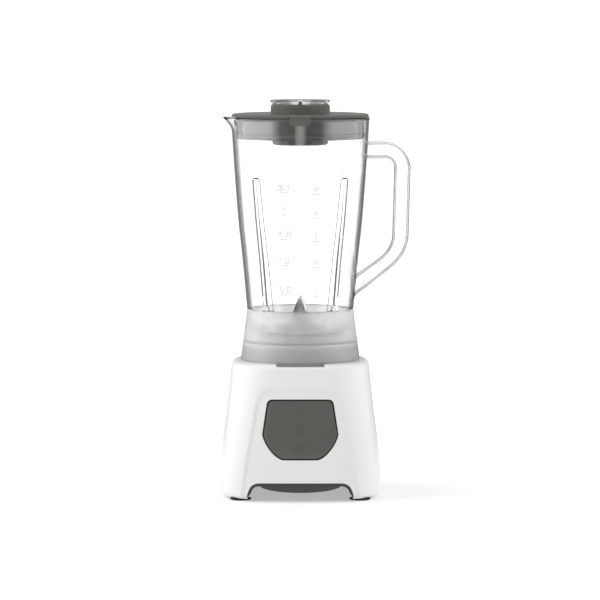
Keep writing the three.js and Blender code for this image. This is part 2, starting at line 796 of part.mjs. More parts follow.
const base = group(
  mesh("motor_housing", motorHousing(), "white"),
  mesh("bottom_cover", bottomCover(), "dark"),
  ...corners("foot", (name, sx, sy) =>
    placed(mesh(name, foot(), "rubber"), sx * FOOT.x, sy * FOOT.y)),
  ...numbered("cover_screw", SCREW, (name) => mesh(name, coverScrew(), "zinc")),
  ...numbered("motor_mount", MOUNT, (name) =>
    mesh(name, tube(2, 6, MOUNT.low, MOUNT.high, PIN_ROUND), "rubber")),
  mesh("switch_frame", switchFrame(), "dark"),
  mesh("paddle_pin", paddlePin(), "steel"),
  mesh("switch_block", switchBlock(), "dark"),
  mesh("cord_inlet", cordInlet(), "rubber"),
  mesh("interlock_switch", block([-6.8, 36, 104], [6.8, 48, 118.7]), "dark"),
  mesh("noise_capacitor", block([-12, 48, 24], [12, 58, 42]), "yellow"),
  mesh("motor_stator", motorStator(), "laminate"),
  mesh("field_coil_left", fieldCoil(-1), "copper"),
  mesh("field_coil_right", fieldCoil(1), "copper"),
  mesh("upper_bracket", bracket(100.5, 100.5, 107, STATOR.top + GAP), "zinc"),
  mesh("lower_bracket", bracket(22, 20, 27, STATOR.bottom - GAP), "zinc"),
  mesh("upper_bearing", bearing(100.3), "bronze"),
  mesh("lower_bearing", bearing(19.8), "bronze"),
  mesh("brush_holder_left", brushHolder(-1), "bronze"),
  mesh("brush_holder_right", brushHolder(1), "bronze"),
  mesh("brush_left", brush(-1), "carbon"),
  mesh("brush_right", brush(1), "carbon"),
);
const rocker = group(mesh("switch_paddle", switchPaddle(), "warmGrey"));
const interlock = placed(group(mesh("interlock_pin", interlockPin(), "white")), 0, INTERLOCK_Y);
const rotor = group(
  mesh("motor_shaft", motorShaft(), "steel"),
  mesh("armature", armature(), "laminate"),
  mesh("commutator", tube(SHAFT_R + GAP, 11, 30, 44, 24), "copper"),
  mesh("cooling_fan", coolingFan(), "dark"),
  mesh("drive_coupling", driveCoupling(), "dark"),
);
const jarBody = group(
  mesh("jar", jar(), "clear"),
  mesh("jar_base", jarBase(), "frosted"),
  mesh("jar_seal", tube(32, 46, 161.8, 163.7, 24), "silicone"),
  mesh("blade_bush", tube(SHAFT_R + GAP, 7.2, 156.4, 171.8), "bronze"),
  mesh("shaft_seal", tube(SHAFT_R + GAP, 8.5, 172.3, 175), "rubber"),
);
const bladeSet = group(
  mesh("blade_shaft", bladeShaft(), "steel"),
  mesh("blade_washer", tube(STEM_R + GAP, 7, HUB.washer, 176.5), "steel"),
  mesh("lower_blade", lowerBlade(), "steel"),
  mesh("upper_blade", upperBlade(), "steel"),
  mesh("blade_nut", tube(STEM_R + 0.8, 5.6, HUB.nut, 186.2, 6), "zinc"),
  mesh("driven_coupling", drivenCoupling(), "dark"),
);
const lidBody = group(mesh("lid", lid(), "warmGrey"), mesh("lid_seal", lidSeal(), "silicone"));
const cap = group(mesh("measuring_cap", measuringCap(), "clear"));

const machine = placed(
  group(base, rocker, interlock, rotor, jarBody, bladeSet, lidBody, cap), AXIS_X, 0);

export default group(machine);
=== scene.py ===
import json
import math

import bmesh
import bpy
import numpy as np
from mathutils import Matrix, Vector


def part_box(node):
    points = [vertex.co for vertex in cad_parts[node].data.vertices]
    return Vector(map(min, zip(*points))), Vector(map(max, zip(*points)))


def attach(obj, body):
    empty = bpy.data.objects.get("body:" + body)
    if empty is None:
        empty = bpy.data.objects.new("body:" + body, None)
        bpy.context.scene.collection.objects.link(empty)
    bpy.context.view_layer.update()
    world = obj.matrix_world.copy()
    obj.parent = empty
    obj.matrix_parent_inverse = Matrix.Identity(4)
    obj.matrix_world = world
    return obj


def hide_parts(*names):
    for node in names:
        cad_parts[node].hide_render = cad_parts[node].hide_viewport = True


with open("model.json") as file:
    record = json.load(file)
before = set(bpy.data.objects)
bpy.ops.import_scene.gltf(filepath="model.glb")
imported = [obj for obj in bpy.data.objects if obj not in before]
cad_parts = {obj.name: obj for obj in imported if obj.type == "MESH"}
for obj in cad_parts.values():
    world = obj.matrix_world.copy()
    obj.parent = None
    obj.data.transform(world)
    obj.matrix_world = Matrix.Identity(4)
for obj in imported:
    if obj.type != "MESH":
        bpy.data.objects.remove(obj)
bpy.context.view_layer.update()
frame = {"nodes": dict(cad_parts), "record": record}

# Lengths below are millimetres, with X and radii from the drive axis and Z from the floor.
MM = 0.001
SHAFT_LOW, SHAFT_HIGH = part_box("motor_shaft")
AXIS_X = (SHAFT_LOW[0] + SHAFT_HIGH[0]) / 2 / MM


def top_of(node):
    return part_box(node)[1][2] / MM


def foot_of(node):
    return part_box(node)[0][2] / MM


HOUSING_BOTTOM = foot_of("motor_housing")
BOSS_TOP = top_of("motor_housing")
BOSS_R = 54.0
RECESS_R = 20.0
HOUSING_TOP = BOSS_TOP - 15.5
HOUSING_WALL = 3.2
LEG_BOTTOM = HOUSING_BOTTOM - 1.2
DEPTH_RATIO = 1.029
SHOULDER_R = 6.0
SKIRT_TOP = top_of("jar_base")
SKIRT_BOTTOM = HOUSING_TOP + 0.5
SKIRT_TOP_R = 53.2
SKIRT_BOTTOM_R = 59.5
JAR_RIM = top_of("jar")
JAR_FOOT = foot_of("jar")
JAR_FLOOR = JAR_FOOT + 3
JAR_WALL = 2.7
JAR_FOOT_R = 50.0
CAP_TOP = top_of("measuring_cap")
COLLAR_TOP = top_of("lid")
LID_TOP = COLLAR_TOP - 11
NECK_TOP = COLLAR_TOP - 0.8
PADDLE_Z = 72.0
PADDLE_INSET = 1.6

# Height, half width and squareness (2 is an ellipse) of the housing's plan.
HOUSING_SECTIONS = (
    (HOUSING_BOTTOM, 77.0, 4.0),
    (10.0, 78.9, 4.0),
    (22.8, 79.8, 4.0),
    (93.8, 72.6, 3.6),
    (113.0, 70.5, 3.3),
    (HOUSING_TOP - SHOULDER_R, 69.2, 3.0),
    (HOUSING_TOP, 69.0, 3.0),
)
# Height and outer radius of the jar above its collar.
JAR_SECTIONS = (
    (SKIRT_TOP + 0.3, 53.4),
    (239.0, 58.4),
    (273.0, 62.1),
    (354.0, 68.1),
    (JAR_RIM, 69.4),
)


# ---- Mesh helpers ----

def smooth_table(rows, z):
    """Row values at the height z, on a curve through the rows with no overshoot."""
    heights = [row[0] for row in rows]
    values = np.array([row[1:] for row in rows], dtype=float)
    if z <= heights[0]:
        return values[0]
    if z >= heights[-1]:
        return values[-1]
    i = max(k for k in range(len(rows) - 1) if heights[k] <= z)
    steps = [(values[k + 1] - values[k]) / (heights[k + 1] - heights[k])
             for k in range(len(rows) - 1)]

    def slope(k):
        if k == 0 or k == len(rows) - 1:
            return steps[min(k, len(steps) - 1)]
        before, after = steps[k - 1], steps[k]
        return np.where(before * after > 0, 2 * before * after / (before + after + 1e-12), 0)

    span = heights[i + 1] - heights[i]
    t = (z - heights[i]) / span
    h00 = 2 * t**3 - 3 * t**2 + 1
    h10 = t**3 - 2 * t**2 + t
    h01 = -2 * t**3 + 3 * t**2
    h11 = t**3 - t**2
    return (h00 * values[i] + h10 * span * slope(i)
            + h01 * values[i + 1] + h11 * span * slope(i + 1))


def smoothstep(value):
    t = np.clip(value, 0.0, 1.0)
    return t * t * (3 - 2 * t)


def rounded(corners, steps=4, closed=True):
    """(x, y, radius) corners as a list of points with each corner turned into an arc."""
    points = []
    count = len(corners)
    for i, (x, y, radius) in enumerate(corners):
        here = Vector((x, y))
        if radius <= 0 or (not closed and i in (0, count - 1)):
            points.append((x, y))
            continue
        before = Vector(corners[i - 1][:2]) - here
        after = Vector(corners[(i + 1) % count][:2]) - here
        half = before.angle(after) / 2
        if half > math.pi / 2 - 0.01:
            points.append((x, y))
            continue
        reach = min(radius / math.tan(half), 0.49 * before.length, 0.49 * after.length)
        radius = reach * math.tan(half)
        middle = (before.normalized() + after.normalized()).normalized()
        centre = here + middle * (radius / math.sin(half))
        start = here + before.normalized() * reach - centre
        end = here + after.normalized() * reach - centre
        sweep = start.angle_signed(end)
        for k in range(steps + 1):
            turn = -sweep * k / steps
            spun = Vector((start.x * math.cos(turn) - start.y * math.sin(turn),
                           start.x * math.sin(turn) + start.y * math.cos(turn)))
            points.append(tuple(centre + spun))
    return points


def add_object(name, data):
    made = bpy.data.objects.new(name, data)
    bpy.context.scene.collection.objects.link(made)
    return made


def make_object(name, vertices, faces, slot, sharp=32, merge=0.0005):
    """A mesh object from millimetre vertices, smooth up to the sharp angle, facing out."""
    scaled = (np.asarray(vertices, dtype=float) + (AXIS_X, 0, 0)) * MM
    data = bpy.data.meshes.new(name)
    data.from_pydata(scaled.tolist(), [], faces)
    piece = add_object(name, data)
    tidy_mesh(piece, sharp, merge)
    data.materials.append(FINISH[slot])
    return piece


def tidy_mesh(piece, sharp=32, merge=0.0005):
    """Merges doubles, turns faces outwards and shades smooth up to the sharp angle."""
    data = piece.data
    work = bmesh.new()
    work.from_mesh(data)
    bmesh.ops.remove_doubles(work, verts=work.verts, dist=merge * MM)
    bmesh.ops.dissolve_degenerate(work, edges=work.edges, dist=1e-8)
    bmesh.ops.recalc_face_normals(work, faces=work.faces)
    for face in work.faces:
        face.smooth = True
    work.to_mesh(data)
    work.free()
    data.set_sharp_from_angle(angle=math.radians(sharp))
    data.update()


def grid_faces(rows, cols, wrap_rows=False, wrap_cols=True):
    """Faces between the rows of a grid of points, each row with that many columns."""
    faces = []
    for row in range(rows if wrap_rows else rows - 1):
        below = row * cols
        above = ((row + 1) % rows) * cols
        for col in range(cols if wrap_cols else cols - 1):
            nxt = (col + 1) % cols
            faces.append((below + col, below + nxt, above + nxt, above + col))
    return faces


def capped_faces(rows, cols):
    """Faces of a closed tube of rings with a cap on each end."""
    first, last = range(cols), range((rows - 1) * cols, rows * cols)
    return [*grid_faces(rows, cols), tuple(first), tuple(last)]


def around(count):
    """That many angles, evenly round a full turn."""
    return np.linspace(0, 2 * math.pi, count, endpoint=False)


def on_circle(r, angles, *height):
    """Points at those angles of a circle about the drive axis, with the height if given."""
    return [(r * math.cos(a), r * math.sin(a), *height) for a in angles]


def circle(r, x, y, count=24):
    return [(x + u, y + v) for u, v in on_circle(r, around(count))]


def turned(profile, count, shape=None):
    """Points of a (radius, height) profile turned round the drive axis, ring by ring."""
    points = []
    for r, z in profile:
        for angle in around(count):
            reach = r if shape is None else shape(r, z, angle)
            points.append((reach * math.cos(angle), reach * math.sin(angle), z))
    return points


def lathe(name, profile, slot, segments=128, sharp=32, shape=None):
    """A solid with the closed (radius, height) profile turned round the drive axis."""
    faces = grid_faces(len(profile), segments, wrap_rows=True)
    return make_object(name, turned(profile, segments, shape), faces, slot, sharp)


def apply_modifiers(piece):
    """Leaves the piece with the mesh that its modifiers make."""
    depsgraph = bpy.context.evaluated_depsgraph_get()
    made = bpy.data.meshes.new_from_object(piece.evaluated_get(depsgraph))
    piece.modifiers.clear()
    piece.data = made


def combine(piece, tools, operation="DIFFERENCE", sharp=32):
    """Cuts the tools from the piece, or joins them to it, and removes the tools."""
    for tool in tools:
        modifier = piece.modifiers.new("combine", "BOOLEAN")
        modifier.operation = operation
        modifier.solver = "MANIFOLD"
        modifier.object = tool
        apply_modifiers(piece)
        bpy.data.objects.remove(tool)
    tidy_mesh(piece, sharp, merge=0.002)
    return piece


def extruded(name, outline, low, high, slot, plane="XY", edge=0.0, sharp=32):
    """An outline in XY or XZ swept along the third axis from low to high, with rounded rims."""
    count = len(outline)
    layers = [(low, 0.0), (high, 0.0)]
    if edge > 0:
        arc = [math.radians(a) for a in (0, 30, 60, 90)]
        lower = [(low + edge * (1 - math.sin(a)), edge * (1 - math.cos(a))) for a in arc]
        upper = [(high - edge * (1 - math.sin(a)), edge * (1 - math.cos(a))) for a in arc]
        layers = lower[::-1] + upper
    normals = outline_normals(outline)
    points = []
    for height, inset in layers:
        for (u, v), (nu, nv) in zip(outline, normals):
            u, v = u - nu * inset, v - nv * inset
            points.append((u, v, height) if plane == "XY" else (u, height, v))
    last = (len(layers) - 1) * count
    faces = [*grid_faces(len(layers), count), tuple(range(count))[::-1],
             tuple(range(last, last + count))]
    return make_object(name, points, faces, slot, sharp)


def outline_normals(outline):
    """Outward unit normals of a closed outline that runs anticlockwise."""
    points = np.asarray(outline, dtype=float)
    ahead = np.roll(points, -1, axis=0) - points
    behind = points - np.roll(points, 1, axis=0)
    ahead /= np.linalg.norm(ahead, axis=1, keepdims=True) + 1e-12
    behind /= np.linalg.norm(behind, axis=1, keepdims=True) + 1e-12
    tangent = ahead + behind
    tangent /= np.linalg.norm(tangent, axis=1, keepdims=True) + 1e-12
    return np.stack([tangent[:, 1], -tangent[:, 0]], axis=1)


def finish_piece(piece, body, slot, *nodes):
    """Puts the piece on its body and hides the CAD nodes that it stands for; the slot is not used.
    """
    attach(piece, body)
    if nodes:
        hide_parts(*nodes)


# ---- Finishes ----

def link(tree, source, target):
    tree.links.new(source, target)


def mapped(tree, stretch):
    """Object coordinates, stretched."""
    coordinates = tree.nodes.new("ShaderNodeTexCoord")
    mapping = tree.nodes.new("ShaderNodeMapping")
    mapping.inputs["Scale"].default_value = stretch
    link(tree, coordinates.outputs["Object"], mapping.inputs["Vector"])
    return mapping.outputs["Vector"]


def noise(tree, place, size_mm, detail=3.0):
    """Noise with features of about that size."""
    node = tree.nodes.new("ShaderNodeTexNoise")
    node.inputs["Scale"].default_value = 1 / (size_mm * MM)
    node.inputs["Detail"].default_value = detail
    link(tree, place, node.inputs["Vector"])
    return node.outputs["Fac"]


def ranged(tree, value, low, high, from_low=0.3, from_high=0.7):
    """The value mapped from one range to another. By default the first is noise's middle."""
    node = tree.nodes.new("ShaderNodeMapRange")
    node.inputs["From Min"].default_value = from_low
    node.inputs["From Max"].default_value = from_high
    node.inputs["To Min"].default_value = low
    node.inputs["To Max"].default_value = high
    link(tree, value, node.inputs["Value"])
    return node.outputs["Result"]


def mixed_colour(tree, factor, first, second):
    node = tree.nodes.new("ShaderNodeMix")
    node.data_type = "RGBA"
    link(tree, factor, node.inputs["Factor"])
    node.inputs["A"].default_value = (*first, 1)
    node.inputs["B"].default_value = (*second, 1)
    return node.outputs["Result"]


def math_node(tree, operation, first, second=None, value=0.0):
    """An operation on a socket and either a second socket or a plain value."""
    node = tree.nodes.new("ShaderNodeMath")
    node.operation = operation
    link(tree, first, node.inputs[0])
    if second is not None:
        link(tree, second, node.inputs[1])
    else:
        node.inputs[1].default_value = value
    return node.outputs["Value"]


def new_material(name):
    """A material with its node tree and its shader."""
    material = bpy.data.materials.new(name)
    material.use_nodes = True
    tree = material.node_tree
    return material, tree, tree.nodes["Principled BSDF"]


def split_xyz(tree, vector):
    """The vector's three sockets, by name."""
    node = tree.nodes.new("ShaderNodeSeparateXYZ")
    link(tree, vector, node.inputs["Vector"])
    return node.outputs


def is_ray(tree, kind):
    """1 on rays of that kind and 0 on the others."""
    return tree.nodes.new("ShaderNodeLightPath").outputs[f"Is {kind} Ray"]


def surface(name, colour, roughness, mottle=0.03, spread=0.04, grain=0.3, bump=0.05,
            stretch=(1, 1, 1), **settings):
    """A finish with mottled colour, uneven roughness with light scuffs, and a fine grain."""
    material, tree, shader = new_material(name)
    for key, value in settings.items():
        shader.inputs[key.replace("_", " ")].default_value = value
    place = mapped(tree, stretch)
    darker = [c * (1 - mottle) for c in colour]
    lighter = [min(1, c * (1 + mottle)) for c in colour]
    tint = mixed_colour(tree, ranged(tree, noise(tree, place, 28), 0, 1), darker, lighter)
    link(tree, tint, shader.inputs["Base Color"])
    uneven = ranged(tree, noise(tree, place, 9), roughness - spread, roughness + spread)
    scuffs = mapped(tree, (stretch[0], stretch[1], stretch[2] * 9))
    worn = ranged(tree, noise(tree, scuffs, 14, 6), 0, spread, 0.5, 0.85)
    link(tree, math_node(tree, "ADD", uneven, worn), shader.inputs["Roughness"])
    grained = tree.nodes.new("ShaderNodeBump")
    grained.inputs["Strength"].default_value = bump
    grained.inputs["Distance"].default_value = 0.05 * MM
    link(tree, noise(tree, place, grain, 2), grained.inputs["Height"])
    link(tree, grained.outputs["Normal"], shader.inputs["Normal"])
    return material


def painted_shade_low(material):
    """Darkens the colour towards the collar's rim as painted shade, where the seat and the lock lie
    behind it.
    """
    tree = material.node_tree
    tint = tree.nodes["Principled BSDF"].inputs["Base Color"]
    height = split_xyz(tree, mapped(tree, (1, 1, 1)))["Z"]
    # Painted shade: darker below the top of the seat, and darker still at the rim over the lock.
    seat = ranged(tree, height, 0.72, 1.0, (BOSS_TOP - 2) * MM, (BOSS_TOP + 2) * MM)
    lock = ranged(tree, height, 0.78, 1.0, (SKIRT_BOTTOM + 0.2) * MM, (SKIRT_BOTTOM + 2) * MM)
    both = math_node(tree, "MULTIPLY", seat, lock)
    shade_mix = tree.nodes.new("ShaderNodeMix")
    shade_mix.data_type = "RGBA"
    shade_mix.blend_type = "MULTIPLY"
    shade_mix.inputs["Factor"].default_value = 1.0
    link(tree, tint.links[0].from_socket, shade_mix.inputs["A"])
    link(tree, both, shade_mix.inputs["B"])
    link(tree, shade_mix.outputs["Result"], tint)
    return material


def passes_lamps(material, share):
    """Lets that share of a lamp's light straight through a clear finish, as thin plastic does."""
    tree = material.node_tree
    through = tree.nodes.new("ShaderNodeBsdfTransparent")
    mix = tree.nodes.new("ShaderNodeMixShader")
    link(tree, math_node(tree, "MULTIPLY", is_ray(tree, "Shadow"), value=share),
         mix.inputs["Fac"])
    link(tree, tree.nodes["Principled BSDF"].outputs["BSDF"], mix.inputs[1])
    link(tree, through.outputs["BSDF"], mix.inputs[2])
    link(tree, mix.outputs["Shader"], tree.nodes["Material Output"].inputs["Surface"])
    return material


# Each slot's colour and roughness, and what else its finish sets.
PLAIN_FINISHES = {
    "housing_white": ((0.80, 0.80, 0.795), 0.35, dict(
        mottle=0.008, grain=0.8, bump=0.03, Coat_Weight=0.25, Coat_Roughness=0.12)),
    "warm_grey_plastic": ((0.094, 0.090, 0.080), 0.34, dict(grain=0.5, bump=0.02)),
    "dark_plastic": ((0.046, 0.044, 0.038), 0.45, dict(mottle=0.08, grain=0.5, bump=0.12)),
    "foot_rubber": ((0.011, 0.011, 0.011), 0.75, dict(mottle=0.12, bump=0.3)),
    "silicone_seal": ((0.12, 0.118, 0.11), 0.45, dict(grain=0.4, bump=0.1, IOR=1.45)),
    "blade_steel": ((0.62, 0.61, 0.59), 0.24, dict(
        mottle=0.05, stretch=(1, 1, 14), grain=0.5, bump=0.2, Metallic=1.0)),
    "zinc_metal": ((0.34, 0.345, 0.35), 0.36, dict(
        mottle=0.08, grain=0.6, bump=0.2, Metallic=1.0)),
    "motor_steel": ((0.17, 0.175, 0.18), 0.5, dict(
        mottle=0.1, stretch=(1, 1, 30), grain=0.9, bump=0.5, Metallic=0.9)),
    "copper_winding": ((0.52, 0.19, 0.08), 0.36, dict(
        mottle=0.14, stretch=(1, 20, 1), grain=0.8, bump=0.7, Metallic=1.0)),
    "bearing_bronze": ((0.36, 0.22, 0.09), 0.42, dict(mottle=0.1, bump=0.25, Metallic=1.0)),
    "carbon": ((0.016, 0.016, 0.017), 0.72, dict(mottle=0.15, grain=0.2, bump=0.3)),
    "capacitor_yellow": ((0.62, 0.38, 0.05), 0.42, dict(mottle=0.05, grain=0.6, bump=0.1)),
}


def make_finishes():
    """One finish for each of the record's slots, by the slot's name."""
    for plain in list(bpy.data.materials):
        bpy.data.materials.remove(plain)
    finishes = {slot: surface(slot, colour, roughness, **more)
                for slot, (colour, roughness, more) in PLAIN_FINISHES.items()}
    finishes["clear_plastic"] = passes_lamps(surface(
        "clear_plastic", (0.985, 0.99, 0.985), 0.02, mottle=0.003, spread=0.012, grain=6,
        bump=0.02, Transmission_Weight=1.0, IOR=1.5), 0.9)
    frosted = surface(
        "frosted_plastic", (0.985, 0.985, 0.98), 0.38, mottle=0.005, spread=0.02, bump=0.08,
        Transmission_Weight=0.82, IOR=1.38)
    # The collar's colour carries painted shade low down, over the seat and the lock.
    finishes["frosted_plastic"] = passes_lamps(painted_shade_low(frosted), 0.4)
    return finishes


FINISH = make_finishes()


# ---- Housing ----

def section_at(z):
    return smooth_table(HOUSING_SECTIONS, z)


def skin_reach(angle, z, inset):
    """Distance of the housing's skin from the axis along a plan angle."""
    half, squareness = section_at(z)
    across = abs(math.cos(angle)) / (half - inset)
    along = abs(math.sin(angle)) / (half * DEPTH_RATIO - inset)
    return (across**squareness + along**squareness) ** (-1 / squareness)


def skin_depth(x, z, inset):
    """How far in front of the axis the housing's skin is, at x and z."""
    half, squareness = section_at(z)
    share = min(1.0, abs(x) / (half - inset))
    return (half * DEPTH_RATIO - inset) * (1 - share**squareness) ** (1 / squareness)


PANEL_TOP = 112.6
PANEL_STRIP = 4.0  # width of the slope from the skin down to the panel
PANEL_DEPTH = 1.9
PANEL_CORNER = 14.0


def eased(value):
    """A straight ramp from 0 to 1 with a short bend at each end."""
    t = min(1.0, max(0.0, value))
    bend = 0.16
    if t < bend:
        return t * t / (2 * bend * (1 - bend))
    if t > 1 - bend:
        return 1 - (1 - t) ** 2 / (2 * bend * (1 - bend))
    return (t - bend / 2) / (1 - bend)


def rounded_inside(across, up, corner):
    """How far inside a rounded corner a point is, from its distances to the two sides."""
    if across < corner and up < corner:
        return corner - math.hypot(corner - across, corner - up)
    return min(across, up)


def panel_side(z):
    """Half width of the front panel at a height."""
    return 43.6 + (99.7 - z) * 0.164 + 0.9 * math.sin(math.pi * min(1, max(0, z / 100)))


def panel_recess(x, z):
    """How far the front panel lies behind the skin: nothing at its outline, all of it inside."""
    inside = rounded_inside(panel_side(z) - abs(x), PANEL_TOP - z, PANEL_CORNER)
    return PANEL_DEPTH * eased(inside / PANEL_STRIP)


def housing_angles(z, inset):
    """Plan angles of the skin's columns, which follow the edge of the front panel."""
    z = min(z, PANEL_TOP)
    side = panel_side(z)
    edge = side + np.concatenate([np.arange(-16, -5, 1.0), np.arange(-4.9, 1.9, 0.4)])
    middle = np.linspace(-edge[0], edge[0], 15)[1:-1]
    front = np.concatenate([-edge[::-1], middle, edge])
    near = np.array([math.atan2(-skin_depth(x, z, inset), x) for x in front])
    rest = np.linspace(near[-1], near[0] + 2 * math.pi, 74)[1:-1]
    return np.concatenate([near, rest])


def skin_rows(low, high):
    """Heights of the upright skin's rows, close together at the top of the front panel."""
    heights = [*np.arange(low, 92, 4.0), *np.arange(94, 106, 1.5), *np.arange(106.6, 113.8, 0.4),
               *np.arange(116, high, 3.0)]
    return [z for z in heights if low <= z <= high - 0.5]


def housing_skin_points(z, inset):
    """A ring of the skin, or of a skin inset behind it. Over the shoulder it keeps its plan."""
    level = min(z, HOUSING_TOP - SHOULDER_R)
    points = []
    for angle in housing_angles(level, inset):
        reach = skin_reach(angle, level, inset)
        x, y = reach * math.cos(angle), reach * math.sin(angle)
        if y < 0 and z < PANEL_TOP + 1 and inset < 1:
            y += panel_recess(x, z)
        points.append((x, y, z))
    return points


def blended_points(first, second, share):
    return [tuple(np.array(a) * (1 - share) + np.array(b) * share)
            for a, b in zip(first, second)]


def housing_shell():
    """The closed shell: outer skin, shoulder, deck, jar seat, and back down the inside."""
    rows = [housing_skin_points(LEG_BOTTOM + rise, inset)
            for rise, inset in ((0, 2.6), (0.2, 1.7), (0.7, 0.9), (1.6, 0.3), (2.6, 0.0))]
    rows += [housing_skin_points(z, 0)
             for z in skin_rows(HOUSING_BOTTOM + 5, HOUSING_TOP - SHOULDER_R)]
    for turn in np.radians(np.linspace(0, 90, 9)):
        z = HOUSING_TOP - SHOULDER_R * (1 - math.sin(turn))
        rows.append(housing_skin_points(z, SHOULDER_R * (1 - math.cos(turn))))
    deck = rows[-1]
    angles = [math.atan2(y, x) for x, y, _ in deck]
    foot = on_circle(BOSS_R + 1.5, angles, HOUSING_TOP)
    rows += [blended_points(deck, foot, share) for share in (0.3, 0.7, 1)]
    seat = [(BOSS_R + 0.45, HOUSING_TOP + 0.45), (BOSS_R, HOUSING_TOP + 1.6),
            (BOSS_R, BOSS_TOP - 1.8), (BOSS_R - 0.5, BOSS_TOP - 0.5), (BOSS_R - 1.8, BOSS_TOP),
            (RECESS_R + 1, BOSS_TOP), (RECESS_R + 0.3, BOSS_TOP - 0.3),
            (RECESS_R, BOSS_TOP - 1), (RECESS_R, HOUSING_TOP + 1.2),
            (RECESS_R - 0.7, HOUSING_TOP + 0.5), (6.0, HOUSING_TOP + 0.5),
            (6.0, HOUSING_TOP - 2.5), (RECESS_R + 3, HOUSING_TOP - 2.5),
            (RECESS_R + 3, BOSS_TOP - 3), (BOSS_R - 3, BOSS_TOP - 3),
            (BOSS_R - 3, HOUSING_TOP - 3)]
    rows += [on_circle(r, angles, z) for r, z in seat]
    rows.append(housing_skin_points(HOUSING_TOP - 3, SHOULDER_R + 1))
    for z in (128, 110, 80, 50, 22.8, 12, HOUSING_BOTTOM):
        rows.append(housing_skin_points(z, HOUSING_WALL))
    points = [point for row in rows for point in row]
    faces = grid_faces(len(rows), len(angles), wrap_rows=True)
    return make_object("motor_housing_shell", points, faces, "housing_white")


# ---- Front of the housing: local x across, y up the slope, z out of the surface ----

PADDLE_HALF = 74.81
FRONT_TILT = math.atan(7.2 * DEPTH_RATIO / 71)
FRONT_Y = -PADDLE_HALF * DEPTH_RATIO


def from_front(x, y, z):
    """A point of the front's own axes in the housing's."""
    up = (math.sin(FRONT_TILT), math.cos(FRONT_TILT))
    return (x, FRONT_Y + y * up[0] - z * up[1], PADDLE_Z + y * up[1] + z * up[0])


def front_level(x, y, inset=0.0, panel=True):
    """Local height of the skin, or of a skin inset behind it, over a point of the front."""
    level = 0.0
    for _ in range(4):
        z = from_front(x, y, level)[2]
        depth = skin_depth(x, z, inset)
        if panel:
            depth -= panel_recess(x, z)
        level = (FRONT_Y + y * math.sin(FRONT_TILT) + depth) / math.cos(FRONT_TILT)
    return level


def bezier(points, steps):
    """A Bezier curve of any order as a list of points, without its last one."""
    made = []
    for k in range(steps):
        t = k / steps
        row = [np.array(p, dtype=float) for p in points]
        while len(row) > 1:
            row = [a * (1 - t) + b * t for a, b in zip(row, row[1:])]
        made.append(tuple(row[0]))
    return made


def paddle_outline(margin, steps=10):
    """The switch's outline, grown by a margin, anticlockwise from the middle of its foot."""
    top = 29.0 + margin
    foot = -30.2 - margin
    top_x = 32 + margin
    wide_x = 37.2 + margin
    foot_x = 17 + margin * 0.6
    corner = 5.0
    half = bezier([(0, foot), (foot_x, foot)], 5)
    half += bezier([(foot_x, foot), (foot_x + 9, foot + 2), (wide_x - 1, -13.8),
                    (wide_x, -4.8)], steps * 2)
    half += bezier([(wide_x, -4.8), (top_x + 0.8, top - corner)], steps)
    half += bezier([(top_x + 0.8, top - corner), (top_x, top), (top_x - corner, top)], 8)
    half += bezier([(top_x - corner, top), (0, top)], 8)
    mirrored = [(-x, y) for x, y in half[1:]][::-1]
    return half + [(0, top)] + mirrored


def paddle_cutter():
    """A tool for the switch's opening that leaves its rim rounded."""
    layers = [(4, 1.0), (0.05, 0.9), (-0.12, 0.6), (-0.4, 0.4), (-0.8, 0.3), (-15, 0.3)]
    points = []
    for rise, margin in layers:
        for x, y in paddle_outline(margin):
            level = front_level(x, y) if rise > -10 else 0
            points.append(from_front(x, y, level + rise))
    count = len(paddle_outline(0))
    faces = capped_faces(len(layers), count)
    return make_object("cutter", points, faces, "dark_plastic")


def arch_outline(margin):
    """The arch in X and Z, grown by a margin, from its right foot over to its left one."""
    low = HOUSING_BOTTOM
    right = [(52 + margin, low - 9), (51.5 + margin, low)]
    right += bezier([(51.5 + margin, low), (50 + margin, 9), (49 + margin, 17 + margin),
                     (40, 17 + margin)], 14)[1:]
    across = [(x, 17 + margin) for x in np.linspace(40, -40, 17)]
    return right + across + [(-x, z) for x, z in right[::-1]]


def arch_cutter():
    """A tool along Y for the arches, flared where it leaves the skin so the lip is rounded."""
    flare = [(0.6, 2.6), (-0.2, 1.5), (-0.5, 0.75), (-1.1, 0.2), (-2, 0.0)]
    points = [(x, -95, z) for x, z in arch_outline(2.6)]
    for side in (-1, 1):
        for rise, margin in flare if side < 0 else flare[::-1]:
            for x, z in arch_outline(margin):
                depth = skin_depth(x, max(z, HOUSING_BOTTOM), 0)
                if side < 0:
                    depth -= panel_recess(x, z)
                points.append((x, side * (depth + rise), z))
    points += [(x, 95, z) for x, z in arch_outline(2.6)]
    count = len(arch_outline(0))
    faces = capped_faces(2 * len(flare) + 2, count)
    return make_object("cutter", points, faces, "dark_plastic")


INLET_Z = 30.0


def along_y(points, z):
    """Points of a lathe about the Z axis, laid along +Y at the height z."""
    return [(x, h, z - y) for x, y, h in points]


def inlet_cutter():
    profile = [(6.3, 66), (6.3, 79.0), (8.4, 79.4), (8.4, 90)]
    count = 40
    points = along_y(turned(profile, count), INLET_Z)
    return make_object("cutter", points, capped_faces(len(profile), count), "dark_plastic")


def rod(name, r, low, high, x=0.0, y=0.0):
    return extruded(name, circle(r, x, y), low, high, "housing_white")


def plate(name, low, high, radius, slot="housing_white", edge=0.0):
    """A block between two corners with rounded upright edges."""
    (x0, y0, z0), (x1, y1, z1) = low, high
    corners = [(x0, y0, radius), (x1, y0, radius), (x1, y1, radius), (x0, y1, radius)]
    return extruded(name, rounded(corners), z0, z1, slot, edge=edge)


